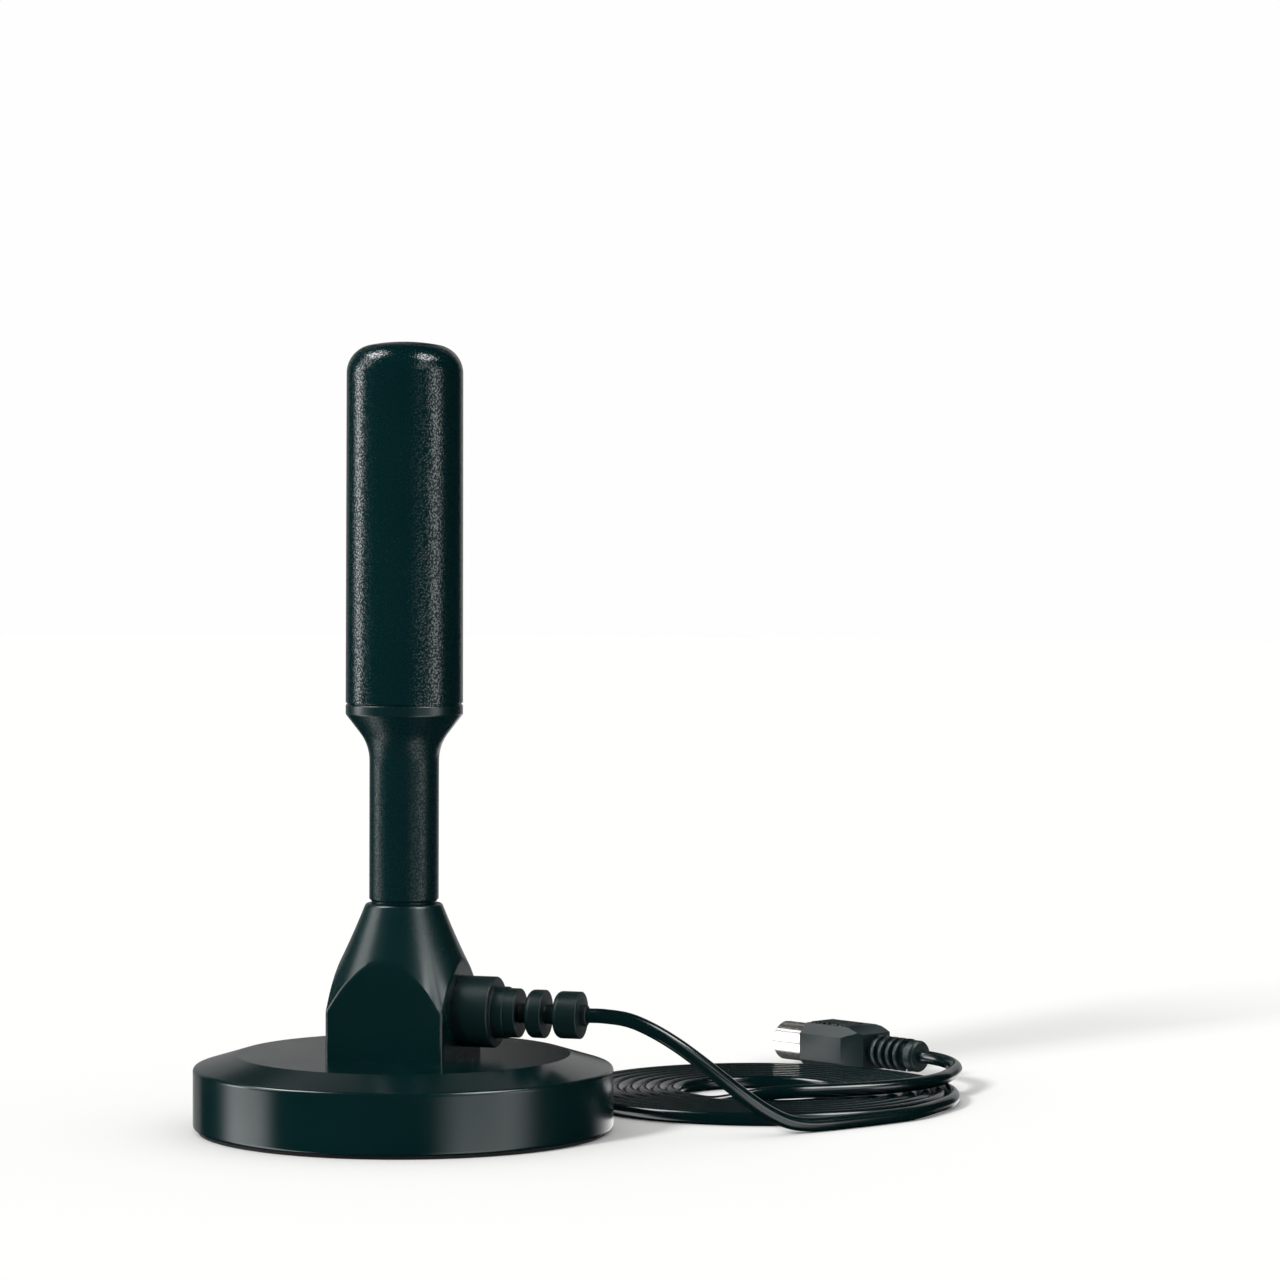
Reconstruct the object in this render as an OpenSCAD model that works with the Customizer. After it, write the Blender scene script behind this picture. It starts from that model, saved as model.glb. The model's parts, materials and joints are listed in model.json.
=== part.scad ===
// Indoor television antenna: a weighted round base, a tower that takes the
// cord, a stem and a capped element, with a coiled cord and a coaxial plug.
// Millimetres, +Z up, origin on the floor under the mast, cord leaving along +X.

/* [Base] */
// Outer radius of the base
base_r = 46.3; // [44:0.1:60]
// Height of the base wall above the floor
base_wall_h = 14; // [13:0.5:20]
// Radius of the flat plateau that carries the tower
plateau_r = 36.7; // [30:0.1:41]
// Height of the plateau above the top of the wall
plateau_rise = 2.9; // [1:0.1:6]
// Radius of the rounded rim
rim_round = 1.1; // [0.4:0.1:1.8]
// Radius of the rounded lower edge of the wall
hem_round = 0.8; // [0.3:0.1:1.2]
// Thickness of the base wall
cover_wall = 2.2; // [1.6:0.1:3]
// Thickness of the base top
cover_top = 2.5; // [1.8:0.1:3]
// Thickness of the rubber pad under the base
pad_t = 0.8; // [0.5:0.1:2]
// How far the pad stays in from the base wall
pad_inset = 1.2; // [0.8:0.1:2]
// Thickness of the plate that closes the base
plate_t = 2; // [1.6:0.1:3]

/* [Weight] */
// How far the ring magnet stays in from the ballast disc's edge
magnet_inset = 6; // [2:0.5:10]
// Radius of the hole in the ring magnet
magnet_bore_r = 12; // [6:0.5:16]
// Thickness of the ring magnet
magnet_t = 5; // [3:0.5:5.5]
// Space between the ballast disc and the screw bosses
ballast_gap = 2.3; // [0.5:0.1:4]
// Thickness of the steel ballast disc
ballast_t = 3; // [2:0.5:3.5]
// Radius of the hole in the ballast disc
ballast_bore_r = 8; // [4:0.5:10]

/* [Tower] */
// Half of the width across the flats of the tower's square foot
tower_half = 13.6; // [13:0.1:16]
// Radius of the tower's upright edges
tower_edge_r = 0.8; // [0.4:0.1:2]
// Height of the tower above the plateau
tower_h = 33.2; // [32:0.1:42]
// Radius of the flared cone at its top
cone_top_r = 8.4; // [8:0.1:9]
// Lean of the cone's side at its top, from the upright
cone_lean = 21.5; // [19:0.5:24]
// Radius of the cone's hollow flare
flare_r = 180; // [140:5:260]
// Wall of the tower
tower_wall = 3; // [2:0.1:3.5]
// Depth of the solid collar at the tower's top
collar_depth = 12; // [10:0.5:13]
// Height of the ring that centres the tower on the plateau
register_h = 1.5; // [1:0.1:3]

/* [Neck] */
// Radius of the stem
stem_r = 7.65; // [7:0.05:8]
// Height of the stem between the tower and its trumpet
stem_h = 31.4; // [20:0.1:50]
// Radius of the curve that starts the trumpet
trumpet_r = 10; // [6:0.5:14]
// Lean of the trumpet's side, from the upright
trumpet_lean = 37.5; // [30:0.5:45]
// Height of the flange under the radome
flange_h = 2.2; // [1.5:0.1:4]
// Radius of the threaded stud that enters the tower
stud_r = 4.9; // [4:0.1:5.2]
// Length of the stud below the tower's collar
stud_reach = 4; // [3.5:0.1:5]
// Radius of the cord's way up the stem
stem_bore_r = 2.6; // [2:0.1:3]
// Height of the socket that enters the radome
socket_h = 8; // [6:0.5:12]
// Depth of the cup in the socket
cup_depth = 6; // [4:0.5:7]
// Wall of the socket's cup
cup_wall = 1.6; // [1.2:0.1:2.5]
// Width across the flats of the nut on the stud
nut_af = 14; // [12:0.5:15]
// Thickness of the nut
nut_t = 3.2; // [2.5:0.1:3.4]

/* [Radome] */
// Outer radius of the radome at its foot
radome_r = 12.9; // [12:0.1:16]
// How much the radome's radius tapers towards the top
radome_draft = 0.1; // [0:0.05:0.3]
// Height of the radome
radome_h = 79.6; // [75:0.1:110]
// Radius of its rounded shoulder
shoulder_r = 6.3; // [3:0.1:8]
// Radius of its domed top
dome_r = 40; // [25:1:80]
// Wall of the radome
radome_wall = 1.6; // [1.2:0.1:2]

/* [Element] */
// Thickness of the matching board
board_t = 1; // [0.8:0.1:1.6]
// Radius of the winding former
former_r = 4; // [3:0.1:5]
// Thickness of the former's foot
former_foot_t = 1.5; // [1:0.1:2]
// Diameter of the winding's wire
wire_d = 1; // [0.8:0.1:1.4]
// Rise of the winding in one turn
winding_pitch = 4; // [3:0.5:4.5]
// Number of turns in the winding
winding_turns = 12; // [6:1:13]
// Height of the winding's first turn above the former's foot
winding_lift = 6; // [3:0.5:9]
// Radius of the foam pad above the former
foam_r = 6; // [4:0.5:7]
// Thickness of that pad
foam_t = 6.7; // [4:0.1:8]

/* [Gland] */
// Height of the gland's axis above the plateau
gland_rise = 9.8; // [9:0.1:10.5]
// Radius of the gland's collar
collar_r = 7.8; // [6.5:0.1:8.2]
// Length of the gland's collar
collar_len = 8.1; // [5:0.1:12]
// Radius of the step after the collar
step_r = 5.7; // [5:0.1:6]
// Length of the step
step_len = 2.7; // [1.5:0.1:4]
// Radius of the strain relief rings
ring_r = 5.4; // [4.5:0.1:5.6]
// Radius lost from each ring to the next
ring_taper = 0.12; // [0:0.02:0.3]
// Length of the first ring, next to the step
ring1_len = 2.7; // [2:0.1:4]
// Length of the second ring
ring2_len = 3.8; // [2.5:0.1:5]
// Length of the third ring
ring3_len = 5.6; // [3:0.1:7]
// Gap between the first and the second ring
ring_gap1 = 2.1; // [1:0.1:3]
// Gap between the second and the third ring
ring_gap2 = 2.5; // [1:0.1:3]
// Radius of the rounded inner edge of a ring
ring_round = 1.3; // [0.5:0.1:1.8]
// Radius of the core between the rings
core_r = 2.15; // [1.9:0.05:2.6]
// Radius of the nub where the cord leaves
nub_r = 2.3; // [1.9:0.05:2.6]
// Length of that nub
nub_len = 1.3; // [0.8:0.1:2]
// Radius of the stem that goes through the tower's wall
spigot_r = 4.9; // [4:0.1:5.2]
// Length of that stem inside the tower
spigot_in = 2.1; // [2:0.1:2.5]
// Thickness of the clip on that stem
clip_t = 0.8; // [0.6:0.1:1]
// Outer radius of the clip
clip_r = 6.1; // [5.6:0.1:6.2]
// Depth of the clip's groove
clip_groove = 0.8; // [0.5:0.1:1]

/* [Plug] */
// Outer radius of the plug's metal shell
shell_r = 4.75; // [4.5:0.05:5]
// Length of the shell in front of the body
shell_len = 11; // [9:0.5:14]
// Thickness of the shell's metal
shell_t = 0.5; // [0.4:0.05:0.7]
// Width of the slit along the shell
shell_slit = 0.6; // [0.4:0.1:1]
// Depth to which the shell is moulded into the body
shell_root = 4; // [2:0.5:6]
// How much narrower the shell is in there
root_step = 0.2; // [0.1:0.05:0.25]
// Radius of the plug's pin
pin_r = 1.2; // [1:0.05:1.3]
// Length of the pin in front of the body
pin_len = 10; // [8:0.5:13]
// Depth of the insulator in front of the body
insulator_len = 3; // [1:0.5:5]
// Width of the plug's body at its front
plug_w = 13.2; // [12:0.1:13.2]
// Height of the plug's body
plug_h = 11.2; // [11:0.1:13]
// Length of the plug's body
plug_len = 19.6; // [16:0.1:24]
// Width of the body at its tail
plug_tail_w = 9.4; // [8:0.1:11]
// Height of the body at its tail
plug_tail_h = 8.6; // [7.5:0.1:10]
// Bevel along the body's edges
plug_bevel = 2.4; // [1:0.1:3]
// Length of the body's straight side, from its front
plug_straight = 13.8; // [10:0.1:15]
// Bulge of the body's curved side
plug_bulge = 1.7; // [0.5:0.1:2.5]
// Height of the raised grip panels
panel_t = 0.35; // [0.2:0.05:0.6]
// Width of the grip panels
panel_w = 7.4; // [5:0.1:8]
// Length of the grip panels
panel_len = 10.4; // [6:0.1:12]
// Distance of the grip panels from the body's front
panel_setback = 1.2; // [0.5:0.1:2]
// Number of grooves across a grip panel
grip_n = 6; // [3:1:7]
// Width of a groove in a grip panel
grip_w = 0.7; // [0.4:0.1:1]

/* [Plug relief] */
// Length of the ribbed relief behind the body
relief_len = 14.6; // [12:0.1:18]
// Radius of the relief's core
relief_r = 2.9; // [2.4:0.1:3.2]
// Radius of the relief's ribs
rib_r = 4; // [3.6:0.1:4.4]
// Number of ribs
rib_n = 5; // [3:1:6]
// Thickness of a rib
rib_t = 1.1; // [0.8:0.1:1.3]
// Length of the collar that ends the relief
end_len = 2.5; // [2:0.1:3]
// How much lower than the ribs that collar stays
end_shy = 0.2; // [0:0.1:0.6]
// How much the relief's core narrows and widens along its length
relief_flare = 0.3; // [0:0.05:0.4]
// Distance from the collar to the first rib
rib_lead = 0.9; // [0.5:0.1:1.5]

/* [Cord] */
// Diameter of the cord
cord_d = 3.2; // [2.8:0.1:3.3]
// Radius of the coil's open middle
coil_in_r = 20; // [14:0.5:20]

/* [Screws] */
// Number of screws in the bottom plate
base_screw_n = 3; // [3:1:6]
// Distance of those screws from the inside of the base wall
base_screw_inset = 4.6; // [4.2:0.1:5.2]
// Radius of a base screw's shank
base_screw_r = 1.25; // [1:0.05:1.4]
// Length of a base screw under its head
base_screw_len = 8; // [6:0.5:9]
// Radius of a base screw's head
base_head_r = 2.5; // [2:0.1:3]
// Height of a base screw's head
base_head_t = 1; // [0.8:0.1:1.2]
// Outer radius of a screw boss
boss_r = 3.2; // [2.5:0.1:3.5]
// Distance of the tower's screws from its faces
tower_screw_inset = 4; // [3.8:0.1:4.4]
// Radius of a tower screw's shank
tower_screw_r = 1.2; // [1:0.05:1.3]
// Length of a tower screw under its head
tower_screw_len = 9; // [7:0.5:10]
// Radius of a tower screw's head
tower_head_r = 2.4; // [2:0.1:2.8]
// Height of a tower screw's head
tower_head_t = 1.6; // [1:0.1:1.8]

/* [Fits] */
// Clearance around parts that slide into each other
slip = 0.1; // [0.05:0.05:0.15]
// Clearance between a screw or stud and its hole
thread_gap = 0.05; // [0.02:0.01:0.08]
// Clearance between a clip and its groove
clip_gap = 0.05; // [0.02:0.01:0.1]
// Clearance around the inner lead
lead_gap = 0.05; // [0.02:0.01:0.2]
// Clearance around parts that are moulded in
seat_gap = 0.02; // [0.01:0.01:0.05]
// Clearance of the foam pad under the dome
foam_gap = 0.3; // [0.2:0.1:0.6]

/* [Hidden] */

eps = 0.01;
round_fn = 96;
ring_fn = 64;
small_fn = 32;
arc_steps = 8;
flare_steps = 10;
cord_sides = 8;
wire_sides = 6;
wire_steps = 12;

// Levels of the base, from the floor up
plate_top = pad_t + plate_t;
magnet_top = plate_top + magnet_t;
ballast_top = magnet_top + ballast_t;
plateau_z = base_wall_h + plateau_rise;
ceiling_z = plateau_z - cover_top;
band_angle = atan(plateau_rise / (base_r - plateau_r));
cover_in_r = base_r - cover_wall;
plate_r = cover_in_r - slip;
base_screw_ring = cover_in_r - base_screw_inset;
base_head_z = pad_t + base_head_t;
ballast_r = base_screw_ring - boss_r - ballast_gap;
magnet_r = ballast_r - magnet_inset;
hold_rib_inset = 4;
hold_rib_t = 1.6;
register_t = 2;
screw_tip_gap = 0.6;

// Levels of the mast
tower_top = plateau_z + tower_h;
shelf_z = tower_top - collar_depth;
stem_top = tower_top + stem_h;
trumpet_turn_z = stem_top + trumpet_r * sin(trumpet_lean);
trumpet_turn_r = stem_r + trumpet_r * (1 - cos(trumpet_lean));
flange_z = trumpet_turn_z + (radome_r - trumpet_turn_r) / tan(trumpet_lean);
seam_z = flange_z + flange_h;
socket_top = seam_z + socket_h;
cup_z = socket_top - cup_depth;
radome_in_r = radome_r - radome_draft - radome_wall;
socket_r = radome_in_r - slip;
cup_r = socket_r - cup_wall;
cup_ledge = 3;
board_z = cup_z;
former_z = board_z + board_t;
winding_r = (former_r + wire_d / 2) / cos(180 / wire_steps);
winding_z = former_z + former_foot_t + winding_lift;
top_z = seam_z + radome_h;
inner_dome_r = dome_r - radome_wall;
foam_top = top_z - dome_r + sqrt(inner_dome_r * inner_dome_r - foam_r * foam_r) - foam_gap;
former_top = foam_top - foam_t;

// Gland axis and stations along it
gland_z = plateau_z + gland_rise;
collar_end = tower_half + collar_len;
step_end = collar_end + step_len;
ring_lens = [ring1_len, ring2_len, ring3_len];
ring2_start = step_end + ring1_len + ring_gap1;
ring3_start = ring2_start + ring2_len + ring_gap2;
ring_starts = [step_end, ring2_start, ring3_start];
rings_end = ring3_start + ring3_len;
gland_end = rings_end + nub_len;
cavity_half = tower_half - tower_wall;
tower_screw_at = tower_half - tower_screw_inset;
register_r = min(cavity_half, tower_screw_at * sqrt(2) - boss_r) - slip;
spigot_end = cavity_half - spigot_in;
lead_r = cord_d / 2;
lead_bore_r = lead_r + lead_gap;

// Coil on the floor, with the lead running up to its side and the tail lying on it
coil_x = 63;
coil_y = 70;
lead_run_r = 47.2;
coil_out_r = lead_run_r - lead_r;
tail_z = cord_d + lead_r;

// Plug on the floor: its cord end, its heading and its axis height
plug_x = 91;
plug_y = 114.5;
plug_yaw = 150;
plug_z = plug_h / 2 + panel_t;
body_front = relief_len + plug_len;

// Routes of the cord, chosen by hand, each with a straight bit where it meets a moulding
lead_straight = 3.6;
tail_straight = 3;
tail_x = plug_x - tail_straight * cos(plug_yaw);
tail_y = plug_y - tail_straight * sin(plug_yaw);
LEAD_ROUTE = [
  [gland_end, 0, gland_z], [gland_end + lead_straight, 0, gland_z], [51.5, 0.5, 26], [56.5, 1.2, 24],
  [61.8, 2.5, 20.8], [66.6, 4.5, 17], [71.2, 7.2, 12.8], [75.5, 10.6, 8.7],
  [79.4, 14.4, 5.2], [83, 18.4, 2.8], [86.5, 22.5, lead_r + 0.2], [90, 26.9, lead_r],
  [93.2, 31.3, lead_r], [96.2, 35.6, lead_r], [99.2, 39.7, lead_r]
];
TAIL_ROUTE = [
  [75.5, 52, tail_z], [80.7, 55.4, tail_z], [86.2, 59.3, tail_z], [91.8, 64.2, tail_z],
  [96.8, 70.3, tail_z], [100.6, 77.6, tail_z], [102.5, 84.5, tail_z], [102.9, 91, tail_z],
  [102.9, 96.9, 5], [102.3, 101.7, 5.2], [100.4, 106.2, 5.5], [97.4, 110, 5.8],
  [tail_x, tail_y, plug_z], [plug_x, plug_y, plug_z]
];

function unit(v) = v / norm(v);

// Points on an arc, from one angle to another
function arc(centre, r, from, to, steps = arc_steps) =
  [for (i = [0:steps])
    let (a = from + (to - from) * i / steps)
    centre + r * [cos(a), sin(a)]];

// Direction of a route at one of its points
function heading(route, i) =
  unit(route[min(i + 1, len(route) - 1)] - route[max(i - 1, 0)]);

// One ring of points around a route's point
function ring_at(route, i, r, sides, flat) =
  let (
    ahead = heading(route, i),
    side = unit(cross(ahead, flat)),
    up = cross(side, ahead)
  )
  [for (k = [0:sides - 1]) route[i] + r * (cos(360 * k / sides) * side + sin(360 * k / sides) * up)];

// Cord or wire swept along a route. flat is a direction it never runs along.
module swept(route, r, sides, flat = [0, 0, 1]) {
  n = len(route);
  points = [for (i = [0:n - 1]) each ring_at(route, i, r, sides, flat)];
  walls = [
    for (i = [0:n - 2], k = [0:sides - 1])
      let (a = i * sides + k, b = i * sides + (k + 1) % sides)
      each [[a, b, b + sides], [a, b + sides, a + sides]]
  ];
  start_cap = [for (k = [sides - 1:-1:0]) k];
  end_cap = [for (k = [0:sides - 1]) (n - 1) * sides + k];
  polyhedron(points = points, faces = concat(walls, [start_cap, end_cap]), convexity = 6);
}

module turned(outline, fn = round_fn) {
  rotate_extrude($fn = fn) polygon(outline);
}

module post(r, h, fn = small_fn) {
  cylinder(r = r, h = h, $fn = fn);
}

module along_gland(x = 0) {
  translate([x, 0, gland_z]) rotate([0, 90, 0]) children();
}

module at_plug() {
  translate([plug_x, plug_y, plug_z]) rotate([0, 0, plug_yaw]) children();
}

module along_plug(x = 0) {
  at_plug() translate([x, 0, 0]) rotate([0, 90, 0]) children();
}

module at_base_screws() {
  for (i = [0:base_screw_n - 1])
    rotate(60 + 360 * i / base_screw_n) translate([base_screw_ring, 0, 0]) children();
}

module at_tower_screws() {
  for (x = [-1, 1], y = [-1, 1]) translate([x * tower_screw_at, y * tower_screw_at, 0]) children();
}

// Base

module cover_outside() {
  rim_centre = [base_r - rim_round, base_wall_h - rim_round * (1 - sin(band_angle)) / cos(band_angle)];
  hem_centre = [base_r - hem_round, pad_t + hem_round];
  turned(concat(
    [[0, pad_t]],
    arc(hem_centre, hem_round, -90, 0),
    arc(rim_centre, rim_round, 0, 90 - band_angle),
    [[plateau_r, plateau_z], [0, plateau_z]]
  ));
}

module cover_inside() {
  turned([
    [0, pad_t - eps], [cover_in_r, pad_t - eps], [cover_in_r, base_wall_h - cover_top],
    [plateau_r - cover_wall / 2, ceiling_z], [0, ceiling_z]
  ]);
}

module base_cover() {
  rib_h = ceiling_z - ballast_top + eps;
  color("#101818") difference() {
    union() {
      difference() {
        cover_outside();
        cover_inside();
      }
      // Rib that holds the weight down
      translate([0, 0, ballast_top]) difference() {
        post(ballast_r - hold_rib_inset, rib_h, round_fn);
        translate([0, 0, -eps]) post(ballast_r - hold_rib_inset - hold_rib_t, rib_h + 2 * eps, round_fn);
      }
      // Bosses for the bottom plate's screws
      intersection() {
        at_base_screws() translate([0, 0, plate_top]) post(boss_r, ceiling_z - plate_top);
        cover_outside();
      }
      // Ring that centres the tower
      translate([0, 0, plateau_z - eps]) difference() {
        post(register_r, register_h + eps, round_fn);
        translate([0, 0, -eps]) post(register_r - register_t, register_h + 3 * eps, round_fn);
      }
    }
    at_base_screws() translate([0, 0, plate_top - eps])
      post(base_screw_r + thread_gap, base_head_z + base_screw_len + screw_tip_gap - plate_top);
    at_tower_screws() translate([0, 0, ceiling_z - eps]) post(tower_screw_r + slip, cover_top + 2 * eps);
  }
}

module bottom_plate() {
  color("#0d1212") difference() {
    translate([0, 0, pad_t]) post(plate_r, plate_t, round_fn);
    at_base_screws() {
      translate([0, 0, pad_t - eps]) post(base_screw_r + slip, plate_t + 2 * eps);
      translate([0, 0, pad_t - eps]) post(base_head_r + slip, base_head_t + eps);
    }
  }
}

module foot_pad() {
  color("#0a0a0a") post(base_r - pad_inset, pad_t, round_fn);
}

module ring_magnet() {
  color("#2b2b2e") translate([0, 0, plate_top]) difference() {
    post(magnet_r, magnet_t, round_fn);
    translate([0, 0, -eps]) post(magnet_bore_r, magnet_t + 2 * eps, round_fn);
  }
}

module ballast_disc() {
  color("#8d9194") translate([0, 0, magnet_top]) difference() {
    post(ballast_r, ballast_t, round_fn);
    translate([0, 0, -eps]) post(ballast_bore_r, ballast_t + 2 * eps, round_fn);
  }
}

// A pan-head screw that points up, its head's underside at z = 0
module screw(r, len, head_r, head_t) {
  post(r, len);
  translate([0, 0, -head_t]) difference() {
    post(head_r, head_t);
    translate([0, 0, -eps]) cylinder(r = head_r / 2.2, h = head_t / 2, $fn = 6);
  }
}

module base_screws() {
  color("#a9adb0") at_base_screws() translate([0, 0, base_head_z])
    screw(base_screw_r, base_screw_len, base_head_r, base_head_t);
}

module tower_screws() {
  color("#a9adb0") at_tower_screws() translate([0, 0, ceiling_z])
    screw(tower_screw_r, tower_screw_len, tower_head_r, tower_head_t);
}

// Tower

// Outline of the flared cone, drawn inset by the wall for its inside
function cone_side(inset, low) =
  let (
    drop = tower_top - low,
    end_lean = asin(sin(cone_lean) + drop / flare_r)
  )
  [for (i = [0:flare_steps])
    let (lean = cone_lean + (end_lean - cone_lean) * i / flare_steps)
    [
      cone_top_r - inset + flare_r * (cos(cone_lean) - cos(lean)),
      tower_top - flare_r * (sin(lean) - sin(cone_lean))
    ]];

module square_post(half, edge_r, h) {
  linear_extrude(height = h) union() {
    square([2 * half, 2 * (half - edge_r)], center = true);
    square([2 * (half - edge_r), 2 * half], center = true);
    for (x = [-1, 1], y = [-1, 1]) translate((half - edge_r) * [x, y]) circle(r = edge_r, $fn = small_fn);
  }
}

// Square block whose top is cut to a flared cone: the cut leaves an arch on each face
module tower_form(half, edge_r, inset, low, high) {
  intersection() {
    translate([0, 0, low]) square_post(half, edge_r, high - low);
    turned(concat([[0, tower_top]], cone_side(inset, low - 1), [[0, low - 1]]));
  }
}

module cable_housing() {
  cavity_low = plateau_z - eps;
  color("#111919") difference() {
    tower_form(tower_half, tower_edge_r, 0, plateau_z, tower_top);
    difference() {
      tower_form(cavity_half, tower_edge_r, tower_wall, cavity_low, shelf_z);
      // Corner bosses for the tower's screws
      at_tower_screws() translate([0, 0, plateau_z]) post(boss_r, tower_h);
    }
    at_tower_screws() translate([0, 0, cavity_low])
      post(tower_screw_r + thread_gap, tower_screw_len - cover_top + screw_tip_gap);
    translate([0, 0, shelf_z - eps]) post(stud_r + thread_gap, collar_depth + 2 * eps);
    along_gland(cavity_half - eps) post(spigot_r + slip, tower_wall + 2 * eps);
  }
}

// Neck and radome

module neck() {
  foot_lip = 0.5;
  stud_low = shelf_z - stud_reach;
  color("#10181a") turned(concat(
    [[stem_bore_r, stud_low], [stud_r, stud_low], [stud_r, tower_top]],
    [[stem_r - foot_lip, tower_top], [stem_r - foot_lip, tower_top + foot_lip]],
    [[stem_r, tower_top + 2 * foot_lip]],
    arc([stem_r + trumpet_r, stem_top], trumpet_r, 180, 180 - trumpet_lean),
    [[radome_r, flange_z], [radome_r, seam_z], [socket_r, seam_z], [socket_r, socket_top]],
    [[cup_r, socket_top], [cup_r, cup_z], [cup_r - cup_ledge, cup_z]],
    [[cup_r - cup_ledge, cup_z - cup_ledge], [stem_bore_r, cup_z - cup_ledge]]
  ));
}

module neck_nut() {
  color("#b9a14c") translate([0, 0, shelf_z - nut_t]) difference() {
    cylinder(r = nut_af / 2 / cos(30), h = nut_t, $fn = 6);
    translate([0, 0, -eps]) post(stud_r + thread_gap, nut_t + 2 * eps);
  }
}

// Upper outline of a capped tube: a dome, a rounded shoulder and the wall's top
function cap_side(wall_r, top, dome, shoulder) =
  let (
    reach = dome - shoulder,
    run = wall_r - shoulder,
    lift = sqrt(reach * reach - run * run),
    dome_centre = [0, top - dome],
    lean = acos(run / reach)
  )
  concat(
    arc(dome_centre + [run, lift], shoulder, 0, lean),
    arc(dome_centre, dome, lean, 90)
  );

module radome() {
  wall_r = radome_r - radome_draft;
  color("#12191b") difference() {
    turned(concat([[0, seam_z], [radome_r, seam_z]], cap_side(wall_r, top_z, dome_r, shoulder_r)));
    turned(concat(
      [[0, seam_z - eps], [radome_in_r, seam_z - eps]],
      cap_side(radome_in_r, top_z - radome_wall, dome_r - radome_wall, shoulder_r - radome_wall)
    ));
  }
}

// Element inside the radome

module matching_board() {
  chip = [3, 2, 1.2];
  chip_y = 4;
  color("#1f5a3a") union() {
    translate([0, 0, board_z]) post(cup_r - slip, board_t, round_fn);
    // Two small components under the board, beside the lead
    for (side = [-1, 1])
      translate([-chip[0] / 2, side * chip_y - chip[1] / 2, board_z - chip[2]]) cube(chip + [0, 0, eps]);
  }
}

module winding_former() {
  color("#d9d6c8") difference() {
    translate([0, 0, former_z]) union() {
      post(cup_r - slip, former_foot_t, round_fn);
      post(former_r, former_top - former_z);
    }
    translate([winding_r, 0, former_z - eps]) post(wire_d / 2 + slip, former_foot_t + 2 * eps);
  }
}

module winding() {
  leg_r = 0.9 * wire_d / 2;
  steps = winding_turns * wire_steps;
  route = [for (i = [-1:steps])
    let (turn = 360 * i / wire_steps)
    [winding_r * cos(turn), winding_r * sin(turn), winding_z + winding_pitch * i / wire_steps]];
  color("#b8733a") union() {
    translate([winding_r, 0, former_z]) post(leg_r, winding_z - former_z);
    swept(route, wire_d / 2, wire_sides);
  }
}

module foam_pad() {
  color("#3b3d40") translate([0, 0, former_top]) post(foam_r, foam_t);
}

// Gland and inner lead

// One strain relief ring: its inner edge is rounded, its outer edge is sharp
function relief_ring(i) =
  let (r = ring_r - i * ring_taper, start = ring_starts[i], stop = start + ring_lens[i])
  concat(
    i == 0 ? [[r, start]] : arc([r - ring_round, start + ring_round], ring_round, -90, 0),
    [[r, stop]]
  );

module cord_gland() {
  collar_edge = 0.4;
  groove_low = cavity_half - clip_t - clip_gap;
  groove_r = spigot_r - clip_groove;
  color("#0e1415") along_gland() turned(concat(
    [[lead_bore_r, spigot_end], [spigot_r, spigot_end], [spigot_r, groove_low], [groove_r, groove_low]],
    [[groove_r, cavity_half + clip_gap], [spigot_r, cavity_half + clip_gap], [spigot_r, tower_half]],
    [[collar_r, tower_half], [collar_r, collar_end - collar_edge], [collar_r - collar_edge, collar_end]],
    [[step_r, collar_end], [step_r, step_end]],
    relief_ring(0),
    [[core_r, ring_starts[0] + ring_lens[0]], [core_r, ring_starts[1]]],
    relief_ring(1),
    [[core_r, ring_starts[1] + ring_lens[1]], [core_r, ring_starts[2]]],
    relief_ring(2),
    [[nub_r, rings_end], [nub_r, gland_end], [lead_bore_r, gland_end]]
  ), ring_fn);
}

module gland_clip() {
  hold_r = spigot_r - clip_groove + clip_gap;
  color("#9da1a4") along_gland(cavity_half - clip_t) difference() {
    post(clip_r, clip_t);
    translate([0, 0, -eps]) post(hold_r, clip_t + 2 * eps);
    translate([0, -hold_r * 0.8, -eps]) cube([clip_r + eps, hold_r * 1.6, clip_t + 2 * eps]);
  }
}

module inner_lead() {
  bend_r = spigot_end;
  bend = [for (a = [270:-15:180]) [bend_r + bend_r * cos(a), 0, gland_z + bend_r + bend_r * sin(a)]];
  color("#0c1011")
    swept(concat([[gland_end, 0, gland_z]], bend, [[0, 0, board_z]]), lead_r, cord_sides, [0, 1, 0]);
}

// Free cord

module cord_lead() {
  color("#0c1011") swept(LEAD_ROUTE, lead_r, cord_sides);
}

module cord_coil() {
  color("#0c1011") translate([coil_x, coil_y, 0]) turned(concat(
    arc([coil_out_r - lead_r, lead_r], lead_r, -90, 90),
    arc([coil_in_r + lead_r, lead_r], lead_r, 90, 270)
  ));
}

module cord_tail() {
  color("#0c1011") swept(TAIL_ROUTE, lead_r, cord_sides);
}

// Plug

module plug_relief() {
  end_round = 0.6;
  end_r = rib_r - end_shy;
  pitch = (relief_len - end_len) / rib_n;
  color("#0f1617") union() {
    along_plug() turned([
      [0, 0], [end_r - end_round, 0], [end_r, end_round], [end_r, end_len],
      [relief_r - relief_flare, end_len], [relief_r + relief_flare, relief_len], [0, relief_len]
    ], ring_fn);
    // Half ribs, with those of one side midway between those of the other
    for (side = [-1, 1], i = [0:rib_n - 1])
      let (x = end_len + rib_lead + pitch * (i + (side < 0 ? 0 : 0.5)))
      if (x + rib_t <= relief_len)
        intersection() {
          along_plug(x) post(rib_r, rib_t, ring_fn);
          at_plug() translate([x, side * rib_r, 0]) cube([3 * rib_t, 2 * rib_r, 3 * rib_r], center = true);
        }
  }
}

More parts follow.
